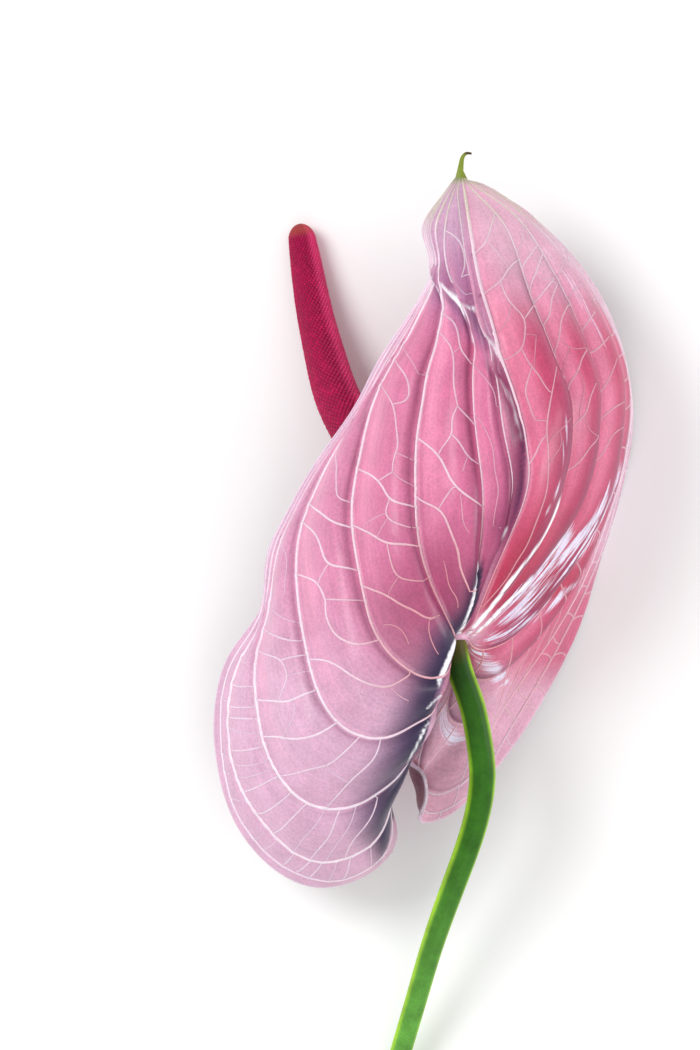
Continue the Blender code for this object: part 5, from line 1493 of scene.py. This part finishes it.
    def cusp_grid(self, grid: Array) -> tuple[Array, Array]:
        """Draw the blade out into its hooked point.

        Args:
            grid: The blade's grid.

        Returns:
            The rows of the point and their thickness.
        """
        line, length = smooth_line(np.array(self.cusp))
        rows = read_line(line, length, np.linspace(0.0, length[-1], self.cusp_rows))
        across = np.linspace(-0.5, 0.5, self.surface.columns)
        side = unit(grid[-1, -1] - grid[-1, 0])
        ahead = unit(np.gradient(rows[:, :3], axis=0))
        points, thick = [], []
        for (x, y, z, width, depth), direction in zip(rows, ahead):
            up = unit(np.cross(side, direction))
            side = unit(np.cross(direction, up))
            arch = (0.25 - across ** 2)[:, None] * depth * 0.5 * up
            points.append(np.array((x, y, z)) + across[:, None] * width * side + arch)
            oval = np.sqrt(np.maximum(1 - (2 * across) ** 2, 0.0))
            thick.append(depth * (self.cusp_edge_share + (1 - self.cusp_edge_share) * oval))
        return np.array(points), np.array(thick)

    def clasp_grid(self, grid: Array) -> Array:
        """Draw the blade's foot in until it clasps the stalk.

        Args:
            grid: The blade's grid.

        Returns:
            The rows of the foot, the lowest first.
        """
        collar = self.surface.collar
        centre, axis = np.array(collar.centre), collar.axis()
        out = grid[0] - centre
        out = out - (out @ axis)[:, None] * axis
        rows = []
        for share in np.linspace(1.0, 1.0 / self.clasp_rows, self.clasp_rows):
            reach = 1 + (self.clasp_radius / collar.radius - 1.0) * float(ease(share))
            rows.append(grid[0] - out + reach * out - self.clasp_length * share * axis)
        return np.array(rows)

    def build_blade(self) -> Piece:
        """Build the blade from a grid, pucker it between its veins and give it its thickness.

        Returns:
            The blade.
        """
        surface = self.surface
        values = self.values(self.net.closeness(self.vein_reach))
        lifted = self.pucker * (1 - self.net.closeness(self.pucker_reach)) * (1 - values["rim"])
        lifted = (lifted * ease(surface.shares / 0.2)[:, None]
                  * ease((1 - surface.shares) / 0.2)[:, None])
        lifted = lifted + self.relief()
        surface.points = surface.points + surface.normals * lifted[:, :, None]
        surface.normals = surface.grid_normals(surface.points)
        tip, tip_thick = self.cusp_grid(surface.points)
        thick = np.full(surface.points.shape[:2], surface.thickness)
        thick = thick - (surface.thickness - surface.margin_thickness) * values["rim"]
        clasp = self.clasp_grid(surface.points)
        points = np.concatenate((clasp, surface.points, tip))
        thick = np.concatenate((thick[:len(clasp)], thick, tip_thick))
        along = np.linspace(0.0, 1.0, self.cusp_rows)[:, None] * np.ones(surface.columns)
        ends = {"tip": np.ones_like(along), "hook": ease((along - 0.55) / 0.3)}
        for name in values:
            end = ends.get(name, 0.0 * along)
            start = np.repeat(values[name][:1], len(clasp), axis=0)
            values[name] = np.concatenate((start, values[name], end))
        blade = self.sheet.grid_piece("spathe_blade", points)
        self.sheet.note(blade, values)
        self.thicken(blade, thick)
        blade.data.materials.append(OUTER_SKIN.build())
        blade.data.materials.append(INNER_SKIN.build())
        self.sheet.finish(blade, "spathe", "spathe")
        return blade

    def thicken(self, blade: Piece, thick: Array) -> None:
        """Give the blade its thickness and its inner skin.

        Args:
            blade: The blade, still a sheet.
            thick: Its thickness at each of its points.
        """
        most = float(thick.max())
        group = blade.vertex_groups.new(name="thickness")
        share = np.round(thick.ravel() / most, 2)
        for level in np.unique(share):
            group.add(np.nonzero(share == level)[0].tolist(), float(level), "REPLACE")
        solid = blade.modifiers.new("thickness", "SOLIDIFY")
        solid.thickness = most * MM
        solid.offset = 0.0
        solid.vertex_group = group.name
        solid.material_offset = 1
        solid.use_rim = True
        bpy.context.view_layer.objects.active = blade
        bpy.ops.object.modifier_apply(modifier=solid.name)
        blade.vertex_groups.clear()

    def build_veins(self) -> Piece:
        """Build the raised veins: low rounded ridges, sunk a little into the blade.

        Returns:
            The veins.
        """
        surface = self.surface
        vertices, faces, noted, start = [], [], [], 0
        aside, up, down = np.array(self.section).T
        ring = len(aside)
        for vein in self.net.veins:
            points = surface.read(surface.points, vein.rows, vein.columns)
            normals = unit(surface.read(surface.normals, vein.rows, vein.columns))
            ahead = unit(np.gradient(points, axis=0))
            side = unit(np.cross(ahead, normals))
            points = points + 0.5 * surface.thickness * normals
            width, rise = vein.rank.value
            # A vein that runs thin runs low as well.
            height = rise * np.minimum(1.0, vein.half_width / (0.3 * width))
            rings = (
                points[:, None] + side[:, None] * (aside * vein.half_width[:, None])[:, :, None]
                + normals[:, None] * (height[:, None] * up - self.sink * down)[:, :, None])
            count = len(points)
            vertices.append(rings.reshape(-1, 3))
            around = np.arange(ring)[None]
            rows = start + np.arange(count - 1)[:, None] * ring
            cells, after = rows + around, rows + (around + 1) % ring
            quads = np.stack((cells, after, after + ring, cells + ring), axis=2).reshape(-1, 4)
            faces += quads.tolist()
            faces.append([start + k for k in range(ring - 1, -1, -1)])
            faces.append([start + (count - 1) * ring + k for k in range(ring)])
            x, y = points[:, 0], points[:, 1]
            order = np.interp(vein.columns, surface.first_column, np.arange(len(GUIDES)))
            values = self.pigment_values(x, y, order - MIDRIB)
            values["paleness"] = vein.paleness * (1 - 0.2 * values["right"])
            values["salmon"] = 1 - ease(np.hypot(x, y - 3.0) / 42.0)
            values["tip"] = ease((y - 76.0) / 14.0)
            noted.append({key: np.repeat(value, ring) for key, value in values.items()})
            start += count * ring
        mesh = bpy.data.meshes.new("spathe_veins")
        mesh.from_pydata(self.sheet.metres(np.concatenate(vertices)).tolist(), [], faces)
        veins = bpy.data.objects.new("spathe_veins", mesh)
        bpy.context.scene.collection.objects.link(veins)
        self.sheet.note(
            veins, {key: np.concatenate([note[key] for note in noted]) for key in noted[0]})
        mesh.materials.append(VEIN_TISSUE.build())
        self.sheet.finish(veins, "spathe", "spathe")
        return veins


@dataclass
class Stalk:
    """A round piece along a centre line: shared by spadix and peduncle."""

    sheet: Sheet
    collar: Collar
    weld: float = 0.002  # how close two points lie that are merged into one

    @staticmethod
    def rings(path: Array, radius: Array, offset: float = 0.0) -> Array:
        """Set rings of points round a centre line, carried along it without twist.

        Args:
            path: The centre line.
            radius: Rows x points round, the reach of each point.
            offset: How far past the top the first point lies, in steps round.

        Returns:
            Rows x points round x 3.
        """
        ahead = unit(np.gradient(path, axis=0))
        up = np.array((0.0, 0.0, 1.0))
        turns = 2 * math.pi * (np.arange(radius.shape[1]) + offset) / radius.shape[1]
        rings = []
        for centre, direction, reach in zip(path, ahead, radius):
            up = unit(up - np.dot(up, direction) * direction)
            side = np.cross(direction, up)
            around = np.cos(turns)[:, None] * up + np.sin(turns)[:, None] * side
            rings.append(centre + reach[:, None] * around)
        return np.array(rings)

    def wrap(self, name: str, rings: Array, values: dict[str, Array],
             places: Array | None = None) -> Piece:
        """Wrap a grid round into a closed body and close its ends.

        Args:
            name: The piece's name.
            rings: Rows x points round x 3; the seam is closed here.
            values: Surface values for each point.
            places: Rows x one more than the points round x 2, the piece's UV map.

        Returns:
            The piece.
        """
        closed = np.concatenate((rings, rings[:, :1]), axis=1)
        piece = self.sheet.grid_piece(name, closed[:, ::-1])
        self.sheet.note(piece, {key: np.concatenate((value, value[:, :1]), axis=1)[:, ::-1]
                                for key, value in values.items()})
        if places is not None:
            corner = np.empty(len(piece.data.loops), dtype=np.int32)
            piece.data.loops.foreach_get("vertex_index", corner)
            piece.data.uv_layers.active.data.foreach_set(
                "uv", places[:, ::-1].reshape(-1, 2)[corner].astype(np.float32).ravel())
        bpy.ops.object.mode_set(mode="EDIT")
        bpy.ops.mesh.select_all(action="SELECT")
        bpy.ops.mesh.remove_doubles(threshold=self.weld * MM)
        bpy.ops.mesh.select_all(action="DESELECT")
        bpy.ops.mesh.select_mode(type="EDGE")
        bpy.ops.mesh.select_non_manifold()
        bpy.ops.mesh.fill_holes(sides=0)
        bpy.ops.mesh.select_all(action="SELECT")
        bpy.ops.mesh.normals_make_consistent(inside=False)
        bpy.ops.object.mode_set(mode="OBJECT")
        return piece


@dataclass
class Spadix(Stalk):
    """The fleshy spike, set with diamond-shaped florets."""

    # Its centre line and radius, from the shoulder to the end.
    line: Rows = (
        (-4.1, 6.2, 34.6, 4.55), (-8.8, 17.4, 29.4, 4.85), (-14.6, 29.4, 23.6, 4.85),
        (-20.2, 39.6, 18.4, 4.75), (-24.8, 48.4, 14.4, 4.55), (-27.4, 57.0, 11.0, 4.10),
        (-29.6, 66.2, 8.3, 3.60), (-31.2, 75.4, 6.5, 3.15), (-32.6, 83.8, 6.1, 2.45))
    stipe_radius: float = 2.70  # radius of its short stalk
    stipe_length: float = 2.4  # length of that stalk
    shoulder_radius: float = 3.30  # radius where the stalk widens into the spike
    dome_length: float = 3.0  # length of the round end
    dome_rings: int = 22  # rings on it
    dome_turn: float = 88.0  # how far round its last ring lies, in degrees
    florets_around: int = 27  # florets in one ring
    floret_length: float = 1.08  # length of a floret along the spike
    floret_height: float = 0.27  # how far a floret stands out
    points_a_floret: int = 6  # points across a floret
    bare_length: float = 3.0  # length by the collar that carries no florets
    seed: int = 11  # seed of the florets' uneven heights
    draws: int = 4096  # how many heights are drawn
    draw_steps: tuple[int, int] = (73, 151)  # how far apart those of two neighbours lie

    def build(self) -> Piece:
        """Build the spike with its florets raised out of it.

        Returns:
            The spadix.
        """
        axis = self.collar.axis()
        base = np.array(self.collar.centre) + axis * 0.5 * self.collar.gap
        shoulder = np.array(self.collar.centre) + axis * self.stipe_length
        line, length = smooth_line(np.vstack(
            ((*base, self.stipe_radius), (*shoulder, self.shoulder_radius), self.line)))
        body = length[-1] - self.dome_length
        step = self.floret_length / self.points_a_floret
        reach = np.arange(0.0, body, step)
        angles = np.radians(np.linspace(0.0, self.dome_turn, self.dome_rings))
        reach = np.concatenate((reach, body + self.dome_length * np.sin(angles)))
        narrowing = np.concatenate((np.ones(len(reach) - len(angles)), np.cos(angles)))
        path = read_line(line, length, reach)
        around = self.florets_around * self.points_a_floret
        across = np.arange(around) / self.points_a_floret
        travelled = np.concatenate(
            ([0.0], np.cumsum(np.hypot(np.diff(reach), np.diff(narrowing * path[:, 3])))))
        along = travelled / self.floret_length
        # The florets lie between two families of spirals, one that climbs and one that falls.
        up = along[:, None] + across[None]
        down = along[:, None] - across[None]
        dome = np.abs(np.sin(math.pi * up) * np.sin(math.pi * down))
        draw = np.random.default_rng(self.seed).random(self.draws)
        climb, fall = self.draw_steps
        order = (np.floor(up).astype(int) * climb + np.floor(down).astype(int) * fall) % self.draws
        grown = ease((reach - self.bare_length) / 1.5)[:, None]
        bump = self.floret_height * grown * dome * (0.75 + 0.25 * draw[order])
        radius = (path[:, 3:4] - 0.5 * self.floret_height + bump) * narrowing[:, None]
        rings = self.rings(path[:, :3], radius)
        share = (reach / length[-1])[:, None] * np.ones(around)
        outward = unit(rings - path[:, None, :3])
        places = np.stack(np.broadcast_arrays(
            np.arange(around + 1) / self.points_a_floret, along[:, None]), axis=2)
        # The side of the spike that faces right gets painted light.
        piece = self.wrap("spadix_spike", rings, {
            "draw": draw[order], "ripe": ease(outward[:, :, 0]),
            "end": ease((share - 0.955) / 0.04)}, places)
        piece.data.materials.append(FLORET_SKIN.build())
        self.sheet.finish(piece, "spadix", "spadix")
        return piece


@dataclass
class Peduncle(Stalk):
    """The bent stalk, from the collar to its cut end."""

    # Its centre line and radius, from under the collar to the cut end.
    line: Rows = (
        (-0.5, -5.8, 36.2, 2.60), (1.9, -12.8, 34.6, 2.62), (3.4, -20.0, 32.6, 2.66),
        (4.1, -26.4, 30.6, 2.68), (3.6, -32.4, 28.6, 2.64), (2.2, -38.4, 26.2, 2.58),
        (0.2, -44.4, 23.8, 2.52), (-2.8, -52.6, 20.3, 2.42), (-6.0, -62.0, 16.2, 2.30),
        (-8.9, -72.0, 12.2, 2.22), (-11.8, -82.0, 8.8, 2.18), (-14.6, -92.0, 6.3, 2.20),
        (-17.4, -102.0, 5.45, 2.28), (-18.9, -107.0, 5.35, 2.30))
    top_radius: float = 2.65  # its radius in the collar
    sides: int = 60  # points round it
    rows: int = 300
    rib_height: float = 0.012  # how far its ribs stand out
    ribs: int = 7  # how many there are
    inset: float = 0.02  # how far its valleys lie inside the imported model's solid
    # Sizes of the rings on the cut end, as shares of its radius.
    cut_rings: tuple[float, ...] = (0.97, 0.90, 0.72, 0.54, 0.36, 0.18, 0.02)
    cut_depth: float = 0.10  # how far the middle of the cut end lies inside its rim

    def path(self, count: int) -> tuple[Array, Array]:
        """Read the centre line at evenly spaced places.

        Args:
            count: How many.

        Returns:
            Each place with its radius, and how far along it lies, 0 to 1.
        """
        top = np.array(self.collar.centre) - self.collar.axis() * 0.5 * self.collar.gap
        line, length = smooth_line(np.vstack(((*top, self.top_radius), self.line)))
        reach = np.linspace(0.0, length[-1], count)
        return read_line(line, length, reach), reach / length[-1]

    def build(self) -> Piece:
        """Build the stalk with its low ribs and its cut end.

        Returns:
            The peduncle.
        """
        path, share = self.path(self.rows)
        turns = 2 * math.pi * np.arange(self.sides) / self.sides
        rib = self.rib_height * np.cos(self.ribs * turns)[None]
        rings = self.rings(path[:, :3], path[:, 3:4] + rib - self.inset)
        shares = share[:, None] * np.ones(self.sides)
        end = rings[-1]
        middle = end.mean(axis=0)
        inward = unit(path[-2, :3] - path[-1, :3])
        cut = [middle + size * (end - middle) + self.cut_depth * (1 - size) * inward
               for size in self.cut_rings]
        rings = np.concatenate((rings, np.array(cut)))
        # Each surface value along the skin, and the one that the whole cut end has.
        values = {
            "along": (shares, 1.0),
            # The flanks of the stalk get painted light.
            "side": (np.abs(np.sin(turns))[None] * np.ones((self.rows, 1)), 0.0),
            "cut": (np.zeros_like(shares), 1.0),
            "top": (1 - ease(shares / 0.30), 0.0),
            "bruise": (1 - ease(shares / 0.07), 0.0)}
        piece = self.wrap("peduncle_stalk", rings, {
            name: np.concatenate((skin, np.full((len(cut), self.sides), flesh)))
            for name, (skin, flesh) in values.items()})
        piece.data.materials.append(STALK_SKIN.build())
        self.sheet.finish(piece, "peduncle", "peduncle")
        return piece


@dataclass(frozen=True)
class Lamp:
    """One soft round light, aimed at the flower."""

    name: str
    place: tuple[float, float, float]  # where it hangs, in metres
    size: float  # its width, in metres
    power: float  # its power, in watts


@dataclass
class Studio:
    """Pale floor, soft light and the camera that looks straight down."""

    sheet: Sheet
    # The place in the middle of the picture.
    middle: tuple[float, float, float] = (-22.4, 23.0, 33.0)
    view_height: float = 210.0  # height of the picture
    camera_distance: float = 3000.0  # how far off the camera is
    sensor: float = 36.0  # width of the camera's sensor
    floor_size: float = 6000.0  # width of the floor
    floor_colour: str = "#FCFCFC"
    floor_roughness: float = 0.8  # how matt it is
    sky: float = 0.66  # strength of the light from all sides
    lamps: tuple[Lamp, ...] = (
        Lamp("key light", (-0.75, 0.45, 1.0), 0.7, 9.5),
        Lamp("fill light", (0.2, -1.1, 0.9), 0.9, 3.0),
        Lamp("rim light", (1.1, -0.1, 0.35), 0.5, 4.5))

    def build(self) -> None:
        """Set up the floor, the lights and the camera."""
        self.build_floor()
        self.build_world()
        for lamp in self.lamps:
            self.build_light(lamp)
        self.build_camera()

    def build_floor(self) -> None:
        """Lay the plain pale floor."""
        bpy.ops.mesh.primitive_plane_add(size=self.floor_size * MM)
        floor = bpy.context.active_object
        floor.name = "floor"
        # White card without any gloss: the eye sees nothing but the flower's soft shadow.
        made = bpy.data.materials.new("matt white card")
        made.use_nodes = True
        shader = made.node_tree.nodes["Principled BSDF"]
        shader.inputs["Base Color"].default_value = linear(self.floor_colour)
        shader.inputs["Roughness"].default_value = self.floor_roughness
        floor.data.materials.append(made)

    def build_world(self) -> None:
        """Surround the flower with soft white light."""
        world = bpy.data.worlds.new("studio")
        world.use_nodes = True
        back = world.node_tree.nodes["Background"]
        back.inputs["Color"].default_value = (1.0, 1.0, 1.0, 1.0)
        back.inputs["Strength"].default_value = self.sky
        bpy.context.scene.world = world
        bpy.context.scene.view_settings.view_transform = "Standard"

    @staticmethod
    def build_light(lamp: Lamp) -> None:
        """Hang one light.

        Args:
            lamp: The light.
        """
        bpy.ops.object.light_add(type="AREA", location=lamp.place)
        light = bpy.context.active_object
        light.name = lamp.name
        light.data.shape = "DISK"
        light.data.size = lamp.size
        light.data.energy = lamp.power
        light.rotation_euler = (-Vector(lamp.place)).to_track_quat("-Z", "Y").to_euler()

    def build_camera(self) -> None:
        """Set the camera straight above, far off, so that nothing is foreshortened."""
        target = (np.array(self.middle) + self.sheet.shift) * MM
        data = bpy.data.cameras.new("camera")
        data.sensor_width = self.sensor
        data.lens = self.sensor * self.camera_distance / self.view_height
        camera = bpy.data.objects.new("camera", data)
        camera.location = (target[0], target[1], target[2] + self.camera_distance * MM)
        bpy.context.scene.collection.objects.link(camera)
        bpy.context.scene.camera = camera


def model_shift(peduncle: Peduncle, rows: int = 46, sides: int = 12) -> Array:
    """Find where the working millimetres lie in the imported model, by its peduncle.

    Args:
        peduncle: The stalk.
        rows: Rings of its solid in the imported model.
        sides: Sides of that solid, the first of them on top.

    Returns:
        The shift to add to the working coordinates, in millimetres.
    """
    path, _ = peduncle.path(rows)
    own = peduncle.rings(path[:, :3], path[:, 3:4] * np.ones(sides), 0.5)
    low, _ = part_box("peduncle")
    return np.array(low) / MM - own.reshape(-1, 3).min(axis=0)


def main() -> None:
    logging.basicConfig(level=logging.INFO, format="%(message)s")
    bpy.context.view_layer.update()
    collar = Collar()
    sheet = Sheet(np.zeros(3))
    peduncle = Peduncle(sheet, collar)
    sheet.shift = model_shift(peduncle)
    log.info("working frame lies at %s mm", np.round(sheet.shift, 3).tolist())
    surface = BladeSurface(collar)
    net = VeinNet(surface)
    log.info("net: %d veins", len(net.veins))
    spathe = Spathe(sheet, surface, net)
    spadix = Spadix(sheet, collar)
    for piece in (spathe.build_blade(), spathe.build_veins(), spadix.build(), peduncle.build()):
        faces = sum(len(face.vertices) - 2 for face in piece.data.polygons)
        log.info("%s: %d triangles", piece.name, faces)
    Studio(sheet).build()


if __name__ == "__main__":
    main()
